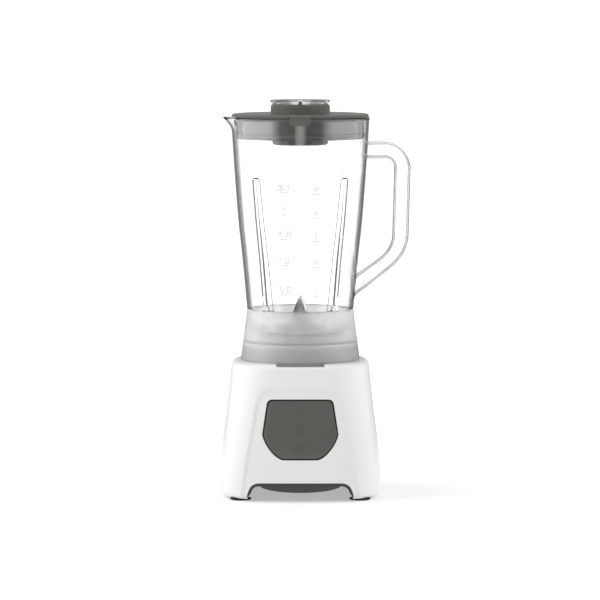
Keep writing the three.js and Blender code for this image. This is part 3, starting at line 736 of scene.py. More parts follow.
def tab_scoop():
    """A tool for the shallow scoop in the deck that the collar's locking tab drops into."""
    half, r, low = 23.7, 56.6, HOUSING_TOP - 2.4
    limit = math.asin(half / r)
    turns = np.linspace(-math.pi / 2 + limit, -math.pi / 2 - limit, 25)
    outline = [(-half, -90.0), (half, -90.0), *on_circle(r, turns)]
    points = [(x, y, low + 0.8 * (-y - r) / 28) for x, y in outline]
    points += [(x, y, HOUSING_TOP + 4) for x, y in outline]
    faces = capped_faces(2, len(outline))
    return make_object("cutter", points, faces, "housing_white")


def make_housing():
    shell = housing_shell()
    key = plate("key", (-10, -54.6, HOUSING_TOP - 1.5), (10, -50, 143.8), 0.8, edge=0.5)
    combine(shell, [key], "UNION")
    pin_hole = rod("cutter", 3.0, 140, 160, y=40)
    combine(shell, [paddle_cutter(), arch_cutter(), inlet_cutter(), pin_hole, tab_scoop()])
    finish_piece(shell, "base", "housing_white", "motor_housing")


# ---- Switch ----

PIVOT_DEPTH = -9.0  # of the switch's pin, behind the front


def on_paddle(x, y, rise=0.0):
    """A point that far in front of the switch's face."""
    return from_front(x, y, front_level(x, y, PADDLE_INSET, False) + rise)


def paddle_rings():
    """(margin, depth behind its face) of the switch, from its back edge round to its face."""
    return [(-3.2, 4.4), (-1.1, 4.0), (-0.8, 3.6), (-0.8, 1.7), (-0.95, 1.3), (-1.25, 1.05),
            (-1.8, 0.95), (-2.1, 0.8), (-2.45, 0.45), (-2.8, 0.18), (-3.2, 0.04), (-3.7, 0.0)]


def make_paddle():
    """The rocker: a curved face with a bevelled border, a rim, and the lugs on its pin."""
    rings = paddle_rings()
    points = [on_paddle(x, y, -depth) for margin, depth in rings
              for x, y in paddle_outline(margin)]
    last = paddle_outline(rings[-1][0])
    shares = (0.86, 0.7, 0.52, 0.34, 0.16)
    points += [on_paddle(x * share, y * share) for share in shares for x, y in last]
    *sides, back, face = capped_faces(len(rings) + len(shares), len(last))
    faces = [*sides, face, back]
    paddle = make_object("switch_rocker", points, faces, "warm_grey_plastic", sharp=28)
    for x in (-21, 21):
        combine(paddle, [lug(x)], "UNION", sharp=28)
    finish_piece(paddle, "switch", "warm_grey_plastic", "switch_paddle")


def lug(x):
    """A rounded ear behind the switch's face with the pin's hole in it."""
    outline = rounded([(-4, PIVOT_DEPTH - 3, 3), (4, PIVOT_DEPTH - 3, 3), (4, -3.0, 0),
                       (-4, -3.0, 0)], 5)
    hole = circle(2.3, 0, PIVOT_DEPTH, 16)
    ear = front_prism("lug", outline, x - 1.5, x + 1.5)
    return combine(ear, [front_prism("cutter", hole, x - 3, x + 3)])


def front_prism(name, outline, low, high):
    """An outline in the front's y and z, swept across it from x low to x high."""
    points = [from_front(x, y, z) for x in (low, high) for y, z in outline]
    faces = capped_faces(2, len(outline))
    return make_object(name, points, faces, "warm_grey_plastic")


def raised_strip(path, width, closed=False):
    """Points and faces of a low ridge of that width along a path on the switch's face."""
    line = np.array(path, dtype=float)
    if closed:
        ahead = np.roll(line, -1, axis=0) - np.roll(line, 1, axis=0)
    else:
        ahead = np.gradient(line, axis=0)
    ahead /= np.linalg.norm(ahead, axis=1, keepdims=True)
    side = np.stack([-ahead[:, 1], ahead[:, 0]], axis=1)
    rows = [(-0.5, -0.3), (-0.5, 0.2), (-0.34, 0.38), (0.34, 0.38), (0.5, 0.2), (0.5, -0.3)]
    points = []
    for offset, rise in rows:
        for (x, y), (nx, ny) in zip(line, side):
            points.append(on_paddle(x + nx * offset * width, y + ny * offset * width, rise))
    count = len(line)
    faces = grid_faces(len(rows), count, wrap_rows=True, wrap_cols=closed)
    if not closed:
        faces.append(tuple(k * count for k in range(len(rows))))
        faces.append(tuple(k * count + count - 1 for k in range(len(rows)))[::-1])
    return points, faces


def make_switch_marks():
    """I, O and a pulse sign, moulded in low relief on the switch."""
    pulse = [(-8, -2.6), (-4, -2.6), (-4, 2.4), (0.4, 2.4), (0.4, -2.6), (4, -2.6), (4, 2.4),
             (8, 2.4)]
    marks = [([(0, 12.4), (0, 16), (0, 19.4)], 1.3, False),
             ([(3.3 * math.cos(a), -1.2 + 3.6 * math.sin(a)) for a in around(32)], 1.1, True),
             (resampled([(x, y - 17.4) for x, y in pulse], 0.8), 1.1, False)]
    points, faces = [], []
    for path, width, closed in marks:
        start = len(points)
        more, ways = raised_strip(path, width, closed)
        points += more
        faces += [tuple(i + start for i in way) for way in ways]
    piece = make_object("switch_marks", points, faces, "warm_grey_plastic")
    finish_piece(piece, "switch", "warm_grey_plastic")


def resampled(path, step):
    """A bent path with its corners slightly rounded, at even steps."""
    corners = [(x, y, 0.7) for x, y in path]
    line = np.array(rounded(corners, 3, closed=False))
    lengths = np.concatenate([[0], np.cumsum(np.linalg.norm(np.diff(line, axis=0), axis=1))])
    spots = np.linspace(0, lengths[-1], int(lengths[-1] / step) + 1)
    return [(np.interp(s, lengths, line[:, 0]), np.interp(s, lengths, line[:, 1]))
            for s in spots]


# ---- Jar ----

SPOUT_REACH = 8.6  # past the rim
SPOUT_START = 364.7
SPOUT_HALF_ANGLE = math.radians(20)


def spout_reach(r, z, angle):
    """The jar's radius, drawn out round -X near the rim into a pouring spout."""
    around = abs((angle % (2 * math.pi)) - math.pi) / SPOUT_HALF_ANGLE
    across = float(smoothstep(1 - around)) if around < 1 else 0.0
    up = max(0.0, (z - SPOUT_START) / (JAR_RIM - SPOUT_START))
    return r + SPOUT_REACH * across * up**1.4


def jar_radius(z):
    return float(smooth_table(JAR_SECTIONS, z)[0])


def jar_profile():
    """The wall's section as a closed ring: up the outside, over the rim, down the inside."""
    low = SKIRT_TOP + 0.3
    heights = [*np.linspace(low, 354, 14), 359, SPOUT_START, 368, 371, 373.5, JAR_RIM - 1.2]
    outer = [(jar_radius(z), z) for z in heights]
    rim_r = jar_radius(JAR_RIM)
    rim = [(rim_r - 0.3, JAR_RIM - 0.4), (rim_r - 0.9, JAR_RIM), (rim_r - 1.9, JAR_RIM),
           (rim_r - JAR_WALL + 0.3, JAR_RIM - 0.4)]
    inner = [(r - JAR_WALL, z) for r, z in outer[::-1]]
    foot_in = JAR_FOOT_R - JAR_WALL
    floor = [(foot_in, low - 2), (foot_in, JAR_FLOOR + 4), (foot_in - 1.2, JAR_FLOOR + 1.2),
             (foot_in - 4, JAR_FLOOR), (30.5, JAR_FLOOR), (30, JAR_FLOOR - 0.5)]
    foot = [(30, JAR_FOOT), (JAR_FOOT_R - 1, JAR_FOOT), (JAR_FOOT_R, JAR_FOOT + 1),
            (JAR_FOOT_R, low - 1.5), (JAR_FOOT_R + 0.6, low - 0.3)]
    return foot + outer + rim + inner + floor


RIB_TOP = 320.0
RIB_FLANK = 2.6
RIB_DEPTH = 3.4
RIB_CORNER = 5.0


def jar_rib(quadrant):
    """A mixing rib: a raised band up the inside of the wall, wider towards the floor."""
    low = JAR_FLOOR - 1
    heights = [low, JAR_FLOOR + 3, 178, SKIRT_TOP - 1.2, SKIRT_TOP + 1, 196, 215, 239, 260, 285,
               304]
    heights += list(RIB_TOP - np.array([12, 9, 7, 5.5, 4.5, 3.6, 2.8, 2.0, 1.2, 0.5, 0.02]))
    flank = np.linspace(0.0, RIB_FLANK + 0.6, 8)
    points = []
    for z in heights:
        wall = (jar_radius(z) if z > SKIRT_TOP else JAR_FOOT_R) - 0.9
        down = (RIB_TOP - z) / (RIB_TOP - low)
        half = 6.4 + 1.6 * down
        middle = math.radians(46.5 + 6.5 * down)
        side = half - flank
        for offset in [*side, *np.linspace(side[-1], -side[-1], 6)[1:-1], *-side[::-1]]:
            inside = rounded_inside(half - abs(offset), RIB_TOP - z, RIB_CORNER)
            r = wall - 0.3 - RIB_DEPTH * eased(inside / RIB_FLANK)
            points += on_circle(r, [middle - offset / wall], z)
        back = [middle - offset / wall for offset in (0.4 - half, half - 0.4)]
        points += on_circle(wall, back, z)
    flip_x, flip_y = ((1, 1), (-1, 1), (-1, -1), (1, -1))[quadrant]
    points = [(x * flip_x, y * flip_y, z) for x, y, z in points]
    faces = capped_faces(len(heights), len(points) // len(heights))
    return make_object("rib", points, faces, "clear_plastic")


HANDLE_RIM = 3.0
HANDLE_REACH = 16.5
HANDLE_HALF = 11.0
HANDLE_EDGE = 1.3


def handle_curve(inset):
    """The handle's outline in X and Z, that far in from its outer face."""
    right = 110 - inset
    top = 352.1 - inset
    r = max(24 - inset, 4)
    path = [(60, top), (right - r, top)]
    path += bezier([(right - r, top), (right - 0.17 * r, top - 0.12 * r), (right, top - r)], 12)[1:]
    bend = (89.6 - inset * 0.5, 225.8 + inset * 0.75)
    path += bezier([(right, top - r), (right - 2, 259)], 6)
    path += bezier([(right - 2, 259), (right - 2.5, 241 + inset * 0.4), bend], 10)
    return path + [bend, (49, 194 + inset * 1.25)]


def handle_strip(start, end, half, edge, slot):
    """The part of the handle between two insets, that far to both sides of its middle."""
    outline = handle_curve(start) + handle_curve(end)[::-1]
    return extruded("strip", outline[::-1], -half, half, slot, "XZ", edge)


def make_jar():
    jar = lathe("jar_wall", jar_profile(), "clear_plastic", shape=spout_reach)
    rims = [handle_strip(start, start + HANDLE_RIM, HANDLE_HALF, HANDLE_EDGE, "frosted_plastic")
            for start in (0, HANDLE_REACH - HANDLE_RIM)]
    handle = rims[0]
    combine(handle, [handle_strip(1.6, 15, 1.6, 0, "clear_plastic"), rims[1]], "UNION")
    inside = [(0.5, JAR_FLOOR), (47, JAR_FLOOR), (48.5, 190)]
    inside += [(jar_radius(z) - 1.2, z) for z in (200, 239, 273, 320, 354)]
    inside += [(jar_radius(370) - 1.2, 370), (0.5, 370)]
    combine(handle, [lathe("cutter", inside, "clear_plastic")])
    combine(jar, [handle, *[jar_rib(k) for k in range(4)]], "UNION")
    finish_piece(jar, "jar_assembly", "clear_plastic", "jar")


# Strokes of the signs on a grid three wide and five high.
DIGITS = {
    "0": [[(0, 0), (2, 0), (2, 4), (0, 4), (0, 0)]],
    "1": [[(0.4, 3.2), (1.2, 4), (1.2, 0)]],
    "2": [[(0, 4), (2, 4), (2, 2), (0, 2), (0, 0), (2, 0)]],
    "3": [[(0, 4), (2, 4), (2, 0), (0, 0)], [(0.5, 2), (2, 2)]],
    "4": [[(0, 4), (0, 2), (2, 2)], [(2, 4), (2, 0)]],
    "5": [[(2, 4), (0, 4), (0, 2), (2, 2), (2, 0), (0, 0)]],
    "7": [[(0, 4), (2, 4), (0.8, 0)]],
    ".": [[(0.8, 0), (1.2, 0)]],
}


def wall_ridge(path, width, points, faces):
    """Adds a thin ridge on the outside of the jar's back wall along a path of (x, z)."""
    for (x0, z0), (x1, z1) in zip(path, path[1:]):
        ahead = Vector((x1 - x0, z1 - z0)).normalized()
        side = Vector((-ahead.y, ahead.x)) * width / 2
        start = len(points)
        ends = [Vector((x0, z0)) - ahead * width / 2, Vector((x1, z1)) + ahead * width / 2]
        for rise in (-0.15, 0.3):
            for end in ends:
                for way in (1, -1):
                    x, z = end.x + side.x * way, end.y + side.y * way
                    r = jar_radius(z) + rise
                    points.append((x, math.sqrt(r * r - x * x), z))
        for face in ((0, 1, 3, 2), (4, 6, 7, 5), (0, 4, 5, 1), (2, 3, 7, 6), (0, 2, 6, 4),
                     (1, 5, 7, 3)):
            faces.append(tuple(i + start for i in face))


def number_paths(number, middle, low, size):
    """Strokes of a number, mirrored since the scale is read through the jar from behind."""
    paths = []
    pitch = 3.0 * size
    start = middle + (len(number) * pitch - size) / 2
    for k, digit in enumerate(number):
        for stroke in DIGITS[digit]:
            paths.append([(start - k * pitch - x * size, low + z * size) for x, z in stroke])
    return paths


def make_scale():
    """Two faint moulded scales, in litres and in cups, on the back wall."""
    points, faces = [], []
    left = [(297.9, "1.25"), (275.5, "1"), (251.0, "0.75"), (224.5, "0.5"), (195.2, "0.25")]
    right = [(296.2, "5"), (272.1, "4"), (248.6, "3"), (222.7, "2"), (193.4, "1")]
    for x, rows in ((-17.5, left), (17.0, right)):
        for z, number in rows:
            wall_ridge([(x - 3.5, z), (x + 3.5, z)], 1.0, points, faces)
            for path in number_paths(number, x, z + 2.4, 1.25):
                wall_ridge(path, 0.85, points, faces)
    piece = make_object("jar_scale", points, faces, "frosted_plastic", merge=0)
    finish_piece(piece, "jar_assembly", "clear_plastic")


def make_jar_base():
    """The frosted collar: skirt, stepped partition and bearing hub."""
    profile = [
        (SKIRT_BOTTOM_R - 0.4, SKIRT_BOTTOM), (SKIRT_BOTTOM_R, SKIRT_BOTTOM + 0.5),
        (58.4, 144), (57.0, 155), (55.6, 166), (54.3, 177), (SKIRT_TOP_R + 0.1, SKIRT_TOP - 1),
        (SKIRT_TOP_R - 0.5, SKIRT_TOP - 0.2), (SKIRT_TOP_R - 1, SKIRT_TOP), (51.2, SKIRT_TOP),
        (50.7, SKIRT_TOP - 0.5), (50.7, 182), (51.6, 179.5), (52.8, 170), (54.0, 160),
        (54.6, 155.5), (54.3, 154.4), (53.2, 153.9), (43.2, 153.9), (42.4, 154.5), (41.6, 160.8),
        (40.8, 161.5), (15.5, 161.5), (14, 163), (13.6, 171.4), (13, 172),
        (8, 172), (7.5, 171.5), (7.5, 156), (14, 156), (15, 159.8), (38, 160), (38.6, 153),
        (39.2, 152.4), (54.4, 152.4), (55.8, 151),
        (SKIRT_BOTTOM_R - 2.2, SKIRT_BOTTOM + 0.5), (SKIRT_BOTTOM_R - 1.8, SKIRT_BOTTOM),
    ]
    base = lathe("jar_collar", profile, "frosted_plastic")
    combine(base, [band_tab()], "UNION")
    finish_piece(base, "jar_assembly", "frosted_plastic", "jar_base")


def band_tab():
    """The locking tab that hangs in front of the skirt's rim."""
    inner, outer, half_x = 57.5, SKIRT_BOTTOM_R + 1, 22.7
    limit = math.asin(half_x / outer)
    turns = np.linspace(-math.pi / 2 - limit, -math.pi / 2 + limit, 25)
    outline = on_circle(outer, turns) + on_circle(inner, turns[::-1])
    low, high = HOUSING_TOP - 2.2, SKIRT_BOTTOM + 2
    return extruded("tab", outline, low, high, "frosted_plastic", edge=0.4)


# ---- Blades ----

BLADE_THICKNESS = 1.6
BLADE_EDGE = 0.35
HUB_LOWER = foot_of("lower_blade")
HUB_UPPER = foot_of("upper_blade")
BLADE_TURN = math.pi / 2 - 0.1


def blade_station(x, near, far, z, slope):
    """The section of a blade across its length: thick in the middle, ground at both edges."""
    dx, dz = -math.sin(slope), math.cos(slope)
    width = far - near
    bevel = min(2.2, width * 0.35)
    spots = [(near, 0), (far, 0), (far, BLADE_EDGE), (far - bevel, BLADE_THICKNESS),
             (near + bevel, BLADE_THICKNESS), (near, BLADE_EDGE)]
    return [(x + dx * rise, y, z + dz * rise) for y, rise in spots]


def blade(name, stations, turn, node):
    """A two-winged blade through (distance, near edge, far edge, height of its underside)."""
    reach = np.linspace(stations[0][0], stations[-1][0], 12)
    wing = [(3.0, *stations[0][1:])] + [(x, *smooth_table(stations, x)) for x in reach]
    both = [(-x, -far, -near, z) for x, near, far, z in wing[::-1]] + wing
    points = []
    for i, (x, near, far, z) in enumerate(both):
        before, after = both[max(0, i - 1)], both[min(len(both) - 1, i + 1)]
        slope = math.atan2(after[3] - before[3], after[0] - before[0])
        for u, v, w in blade_station(x, near, far, z, slope):
            points.append((u * math.cos(turn) - v * math.sin(turn),
                           u * math.sin(turn) + v * math.cos(turn), w))
    faces = capped_faces(len(both), len(points) // len(both))
    piece = make_object(name, points, faces, "blade_steel", sharp=25)
    hole = rod("cutter", 3.3, 170, 190)
    combine(piece, [hole], sharp=25)
    finish_piece(piece, "blade_set", "blade_steel", node)


def make_blades():
    z = HUB_LOWER
    blade("blade_low", [(8, -7, 7, z), (14, -6.5, 6.5, z + 0.4), (22, -5, 6, z + 2.4),
                        (31, 0.5, 4, z + 5)], 0.0, "lower_blade")
    z = HUB_UPPER
    blade("blade_high", [(8, -6.5, 6.5, z), (11, -6.5, 6, z + 1.5), (15, -4, 5, z + 9),
                         (19, 0, 1.6, z + 18)], BLADE_TURN, "upper_blade")


# ---- Lid and cap ----

def make_lid():
    bore = 25.0
    neck = 29.6
    rim_r = 68.4
    rim_low = JAR_RIM + 0.3
    profile = [
        (bore, 350), (bore + 0.5, 349.4), (26.4, 349.4), (27.9, 350.8), (27.9, rim_low - 2),
        (29.9, rim_low), (57.6, rim_low), (59.6, rim_low - 2), (59.6, 356), (60.2, 355.6),
        (62.5, 355.6), (63.3, 356.4), (63.3, 357), (61.4, 357), (61.4, 361.8), (63.3, 361.8),
        (63.3, rim_low), (rim_r - 0.5, rim_low), (rim_r, rim_low + 0.5),
        (rim_r, LID_TOP - 1.4), (rim_r - 0.4, LID_TOP - 0.5), (rim_r - 1.4, LID_TOP),
        (neck + 1.2, LID_TOP), (neck + 0.35, LID_TOP + 0.35), (neck, LID_TOP + 1.2),
        (neck, NECK_TOP - 3.4), (neck - 0.26, NECK_TOP - 2.1), (neck - 1.0, NECK_TOP - 1.0),
        (neck - 2.1, NECK_TOP - 0.26), (neck - 3.4, NECK_TOP), (bore + 0.4, NECK_TOP),
        (bore, NECK_TOP - 0.4),
    ]
    body = lathe("lid_body", profile, "warm_grey_plastic", sharp=35)
    tongue = rounded([(-10.7, 370.4, 7), (10.7, 370.4, 7), (10.7, LID_TOP - 0.3, 0),
                      (-10.7, LID_TOP - 0.3, 0)], 8)
    tab = extruded("tab", tongue, -71.9, -69.9, "warm_grey_plastic", "XZ", 0.7)
    bridge = plate("bridge", (-10.7, -71.4, rim_low + 0.3), (10.7, -62, LID_TOP - 0.3), 0.4,
                   "warm_grey_plastic", 0.5)
    key = plate("key", (-1.5, -29.3, NECK_TOP - 4), (1.5, -27.6, CAP_TOP - 0.4), 0.4,
                "warm_grey_plastic", 0.3)
    combine(body, [tab, bridge, key], "UNION", sharp=35)
    finish_piece(body, "lid_assembly", "warm_grey_plastic", "lid")


def make_lid_seal():
    """A soft ring in the lid's groove, with two lips."""
    profile = [(61.7, 357.4), (63.6, 357.4), (64.2, 358.1), (64.2, 358.6), (63.7, 359.4),
               (64.2, 360.2), (64.2, 360.8), (63.6, 361.5), (61.7, 361.5)]
    seal = lathe("lid_gasket", profile, "silicone_seal")
    finish_piece(seal, "lid_assembly", "silicone_seal", "lid_seal")


def make_cap():
    """The clear measuring cap: a thick grip disc over a shallow cup open below."""
    r, cup_r, low = 30.0, 24.2, 352.0
    under = NECK_TOP + 0.3
    profile = [
        (0.01, under), (cup_r - 3.0, under), (cup_r - 2.0, under - 1), (cup_r - 2.1, low + 0.5),
        (cup_r - 1.7, low), (cup_r - 0.8, low), (cup_r - 0.4, low + 0.5),
        (cup_r - 0.1, under - 0.6), (cup_r + 0.5, under), (r - 0.7, under), (r, under + 0.7),
        (r, CAP_TOP - 1.2), (r - 0.35, CAP_TOP - 0.4), (r - 1.2, CAP_TOP), (0.01, CAP_TOP),
    ]
    cap = lathe("cap_body", profile, "clear_plastic", 96)
    notch = plate("cutter", (-2.1, -34, 380), (2.1, -r + 2.9, 400), 0.8, "clear_plastic")
    combine(cap, [notch])
    finish_piece(cap, "cap", "clear_plastic", "measuring_cap")


# ---- Underside ----

FOOT_AT = ((-59, -58, "front_left"), (59, -58, "front_right"),
           (-59, 58, "rear_left"), (59, 58, "rear_right"))
SCREW_AT = (66, 28)
VENT_AT = (-18, -9, 0, 9, 18)


def cover_line(edge, lower, knee, upper, top, dip):
    """The cover's upper or lower face in X and Z, from its right edge to its left one."""
    leg = bezier([edge, lower, knee], 6) + bezier([knee, upper, top], 6)
    over = bezier([top, dip, (-dip[0], dip[1]), (-top[0], top[1])], 24)
    return leg + over + [(-x, z) for x, z in [top, *leg[::-1]]]


def cover_outline():
    """The cover's section in X and Z: flat at the corners, arched, with a hanging belly."""
    low = cover_line((53.5, 4.2), (50, 4.6), (48.3, 10), (46.4, 15.4), (40, 15.4), (30, 6.9))
    high = cover_line((55, 7.2), (52.8, 7.4), (51.4, 11), (49, 18.4), (40, 18.4), (30, 9.9))
    return [(78, 4.2), *low, (-78, 4.2), (-78, 7.2), *high[::-1], (78, 7.2)]


def inner_form(inset):
    """The room inside the housing near its foot, as a closed form."""
    count = 96
    profile = [(inset, z) for z in (-2, HOUSING_BOTTOM, 10, 16, 22.8, 30)]
    points = turned(profile, count, lambda r, z, angle: skin_reach(
        angle, max(z, HOUSING_BOTTOM), r))
    return make_object("cutter", points, capped_faces(len(profile), count), "dark_plastic")


def belly_wall():
    """The lens-shaped wall that closes the belly at the front and at the back."""
    low = bezier([(40, 15.6), (30, 7.1), (-30, 7.1), (-40, 15.6)], 24)
    outline = [*low, (-40, 15.6), (-40, 18.2), (40, 18.2)]
    wall = extruded("wall", outline[::-1], -90, 90, "dark_plastic", "XZ")
    combine(wall, [inner_form(HOUSING_WALL + 0.5)], "INTERSECT")
    return combine(wall, [inner_form(HOUSING_WALL + 2.9)])


def four_corners(x, y):
    return [(sx * x, sy * y) for sx in (-1, 1) for sy in (-1, 1)]


def make_cover():
    """The vented underside, with holes for the feet's stems and the screws."""
    cover = extruded("base_cover", cover_outline()[::-1], -90, 90, "dark_plastic", "XZ")
    combine(cover, [inner_form(HOUSING_WALL + 0.4)], "INTERSECT")
    combine(cover, [belly_wall()], "UNION")
    combine(cover, [rod("boss", 5, 13.5, 17.7, x, y) for x, y in four_corners(30, 23)], "UNION")
    tools = []
    for x in VENT_AT:
        corners = [(x - 2, -30, 2), (x + 2, -30, 2), (x + 2, 30, 2), (x - 2, 30, 2)]
        tools.append(extruded("cutter", rounded(corners, 4), 0, 25, "dark_plastic"))
    tools += [rod("cutter", 3.4, 0, 12, x, y) for x, y, _ in FOOT_AT]
    tools += [rod("cutter", 1.9, 0, 12, x, y) for x, y in four_corners(*SCREW_AT)]
    tools += [rod("cutter", 3.9, 0, 5.9, x, y) for x, y in four_corners(*SCREW_AT)]
    combine(cover, tools)
    finish_piece(cover, "base", "dark_plastic", "bottom_cover")


def make_feet():
    """Four rubber feet: a tread ring on a pad, with a stem through the cover."""
    r = 10.7
    for x, y, place in FOOT_AT:
        profile = [(0.01, 0.5), (4.6, 0.5), (5.2, 0), (r - 3.0, 0), (r - 1.5, 0.2),
                   (r - 0.5, 0.7), (r, 1.4), (r, 1.7), (r - 0.3, 2.0), (5, 2.0), (5, 3.9),
                   (3, 3.9), (3, 9), (0.01, 9)]
        foot = lathe("pad_" + place, profile, "foot_rubber", 48)
        for vertex in foot.data.vertices:
            vertex.co.x += x * MM
            vertex.co.y += y * MM
        finish_piece(foot, "base", "foot_rubber", "foot_" + place)


def make_inlet():
    """The cord's strain-relief bush in the back wall, with grip grooves."""
    profile = [(3.6, 74.5), (7.4, 74.5), (7.4, 77.3), (5.9, 77.3), (5.9, 79.8), (7.6, 79.8),
               (8, 80.2), (8, 80.6), (7.4, 81.2), (4.2, 81.2), (3.6, 80.6)]
    count = 48
    points = along_y(turned(profile, count), INLET_Z)
    faces = grid_faces(len(profile), count, wrap_rows=True)
    bush = make_object("inlet_bush", points, faces, "foot_rubber")
    finish_piece(bush, "base", "foot_rubber", "cord_inlet")


# ---- Parts that keep their CAD shape ----

COUPLING_EDGE = 0.4


def softened(node, body, slot):
    """The CAD part's shape with its long edges rounded, standing for the node."""
    source = frame["nodes"][node]
    piece = add_object(node + "_shape", source.data.copy())
    piece.data.materials.clear()
    piece.data.materials.append(FINISH[slot])
    work = bmesh.new()
    work.from_mesh(piece.data)
    bmesh.ops.remove_doubles(work, verts=work.verts, dist=0.002 * MM)
    bmesh.ops.dissolve_limit(work, angle_limit=math.radians(1), verts=work.verts,
                             edges=work.edges)
    work.to_mesh(piece.data)
    work.free()
    rim = piece.modifiers.new("rim", "BEVEL")
    rim.width = COUPLING_EDGE * MM
    rim.segments = 2
    rim.limit_method = "ANGLE"
    rim.angle_limit = math.radians(40)
    rim.use_clamp_overlap = True
    apply_modifiers(piece)
    for polygon in piece.data.polygons:
        polygon.use_smooth = True
    piece.data.set_sharp_from_angle(angle=math.radians(35))
    finish_piece(piece, body, slot, node)


def paint_frame(slots):
    """Gives each CAD node its slot's finish."""
    for node, piece in frame["nodes"].items():
        piece.data.materials.clear()
        piece.data.materials.append(FINISH[slots[node]])


# ---- Studio, in metres but for the lens ----

CAMERA_LENS = 270.0
CAMERA_DISTANCE = 4.5
CAMERA_ELEVATION = math.radians(4.5)
AIM = Vector((-0.0154, 0.0, 0.1938))


def make_camera():
    data = bpy.data.cameras.new("camera")
    data.lens = CAMERA_LENS
    data.sensor_width = 36.0
    data.clip_start = 0.1
    data.clip_end = 300.0
    camera = add_object("camera", data)
    back = Vector((0, -math.cos(CAMERA_ELEVATION), math.sin(CAMERA_ELEVATION)))
    camera.location = AIM + back * CAMERA_DISTANCE
    camera.rotation_mode = "QUATERNION"
    camera.rotation_quaternion = (-back).to_track_quat("-Z", "Y")
    bpy.context.scene.camera = camera


def either(tree, factor, first, second):
    """First where the factor is 0, second where it is 1."""
    node = tree.nodes.new("ShaderNodeMix")
    node.data_type = "FLOAT"
    link(tree, factor, node.inputs["Factor"])
    for socket, value in (("A", first), ("B", second)):
        if isinstance(value, float):
            node.inputs[socket].default_value = value
        else:
            link(tree, value, node.inputs[socket])
    return node.outputs["Result"]


FLOOR_HALF = 60.0  # metres
FLOOR_FILL = 0.42  # glow that lifts the floor under the object towards white for the camera
FLOOR_PALE = 0.55
FLOOR_DARK = 0.02  # the far floor's colour in reflections, dark so that there only its glow shows
LIT_RADIUS = 0.55  # metres from the object, where the far floor begins
# The far floor's glow in reflections and through clear pieces, in place of a studio's cards:
# degrees from the camera's side, and level.
FAR_LEVELS = ((0, 2.5), (4, 2.3), (11, 0.15), (34, 0.15), (48, 2.3), (72, 2.2), (98, 1.5),
              (126, 1.5), (134, 0.22), (165, 0.2), (168, 0.75), (172, 1.1), (180, 1.3))
FAR_PEAK = 2.5
RIGHT_SHARE = 0.78  # of that glow, on the right
NEAR_LEVEL = 0.4  # the glow of the floor nearer than that
# How bright the room is in front of the object and behind it.
ROOM_FRONT = 0.42
ROOM_BEHIND = 0.5


def bearing(tree, place):
    """Angle in radians between the camera's side of the object and where a place lies."""
    front = math_node(tree, "MULTIPLY", place["Y"], value=-1.0)
    return math_node(tree, "ABSOLUTE", math_node(tree, "ARCTAN2", place["X"], front))


def stepped(tree, value, stops, peak):
    """A level for an angle in radians, through stops in degrees and levels up to the peak."""
    ramp = tree.nodes.new("ShaderNodeValToRGB")
    share = math_node(tree, "DIVIDE", value, value=math.pi)
    link(tree, share, ramp.inputs["Fac"])
    elements = ramp.color_ramp.elements
    while len(elements) < len(stops):
        elements.new(0.5)
    for element, (degrees, level) in zip(elements, stops):
        element.position = degrees / 180
        element.color = (*[level / peak] * 3, 1)
    return math_node(tree, "MULTIPLY", ramp.outputs["Color"], value=peak)


def make_floor_finish():
    """A plain pale sheet to the eye. Far out it is the studio's cards in reflections."""
    material, tree, shader = new_material("floor_paper")
    shader.inputs["Roughness"].default_value = 0.9
    shader.inputs["Specular IOR Level"].default_value = 0.0
    place = tree.nodes.new("ShaderNodeTexCoord").outputs["Object"]
    length = tree.nodes.new("ShaderNodeVectorMath")
    length.operation = "LENGTH"
    link(tree, place, length.inputs[0])
    away = length.outputs["Value"]
    sides = split_xyz(tree, place)
    round_it = bearing(tree, sides)
    far = ranged(tree, away, 0.0, 1.0, LIT_RADIUS, LIT_RADIUS * 1.5)
    level = stepped(tree, round_it, FAR_LEVELS, FAR_PEAK)
    side = ranged(tree, sides["X"], 1.0, RIGHT_SHARE, -0.3, 0.3)
    behind = ranged(tree, round_it, 0.0, 1.0, math.radians(163), math.radians(164))
    gain = either(tree, behind, side, 1.0)
    seen = is_ray(tree, "Camera")
    unseen_far = math_node(tree, "MULTIPLY", far, either(tree, seen, 1.0, 0.0))
    tint = mixed_colour(tree, unseen_far, [FLOOR_PALE] * 3, [FLOOR_DARK] * 3)
    link(tree, tint, shader.inputs["Base Color"])
    fill = ranged(tree, away, FLOOR_FILL, 1.0, 0.1, 0.8)
    glow = either(tree, far, NEAR_LEVEL, math_node(tree, "MULTIPLY", level, gain))
    shader.inputs["Emission Color"].default_value = (1, 1, 1, 1)
    link(tree, either(tree, seen, glow, fill), shader.inputs["Emission Strength"])
    return material


def make_floor():
    """A wide sheet with finer cells in the middle, so that the horizon is out of sight."""
    steps = [-FLOOR_HALF, -8.0, -2.0, 2.0, 8.0, FLOOR_HALF]
    work = bmesh.new()
    rows = [[work.verts.new((x, y, 0)) for x in steps] for y in steps]
    for low, high in zip(rows, rows[1:]):
        for k in range(len(steps) - 1):
            work.faces.new((low[k], low[k + 1], high[k + 1], high[k]))
    data = bpy.data.meshes.new("floor")
    work.to_mesh(data)
    work.free()
    floor = add_object("floor", data)
    data.materials.append(make_floor_finish())


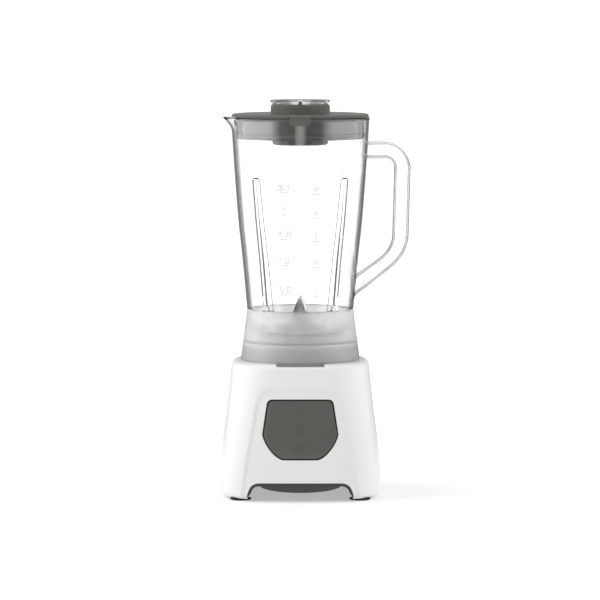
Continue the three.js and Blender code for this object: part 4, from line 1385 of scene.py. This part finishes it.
def softbox(name, azimuth, distance, width, height, power, aim_z=0.25, centre_z=0.8):
    """A large soft lamp at an angle round the object, counted from the camera to the right."""
    data = bpy.data.lights.new(name, "AREA")
    data.shape = "RECTANGLE"
    data.size = width
    data.size_y = height
    data.energy = power
    lamp = add_object(name, data)
    angle = math.radians(azimuth)
    spot = Vector((math.sin(angle) * distance, -math.cos(angle) * distance, centre_z))
    lamp.location = spot
    lamp.rotation_mode = "QUATERNION"
    lamp.rotation_quaternion = (Vector((0, 0, aim_z)) - spot).to_track_quat("-Z", "Y")
    lamp.visible_camera = False
    lamp.visible_glossy = False


def make_world():
    """White behind the object for the camera, and a dim room round it for everything else."""
    world = bpy.data.worlds.new("room")
    world.use_nodes = True
    tree = world.node_tree
    background = tree.nodes["Background"]
    place = tree.nodes.new("ShaderNodeTexCoord").outputs["Generated"]
    aside = bearing(tree, split_xyz(tree, place))
    back = ranged(tree, aside, 0.0, 1.0, math.radians(165), math.radians(170))
    level = either(tree, back, ROOM_FRONT, ROOM_BEHIND)
    level = either(tree, is_ray(tree, "Camera"), level, 1.0)
    link(tree, level, background.inputs["Strength"])
    background.inputs["Color"].default_value = (1, 1, 1, 1)
    bpy.context.scene.world = world


def make_studio():
    make_camera()
    make_floor()
    make_world()
    softbox("lamp_left", -82, 1.25, 1.9, 1.5, 19)
    softbox("lamp_right", 82, 1.25, 1.9, 1.5, 14)
    softbox("lamp_top", 0, 0.05, 1.4, 1.4, 6, aim_z=0.2, centre_z=1.7)
    bpy.context.scene.view_settings.view_transform = "Standard"


# ---- Assembly ----


def main():
    paint_frame({part["node"]: part["material_slot"] for part in frame["record"]["subparts"]})
    make_housing()
    make_paddle()
    make_switch_marks()
    make_jar()
    make_scale()
    make_jar_base()
    make_blades()
    make_lid()
    make_lid_seal()
    make_cap()
    make_cover()
    make_feet()
    make_inlet()
    for node, body in (("drive_coupling", "rotor"), ("driven_coupling", "blade_set")):
        softened(node, body, "dark_plastic")
    make_studio()


main()
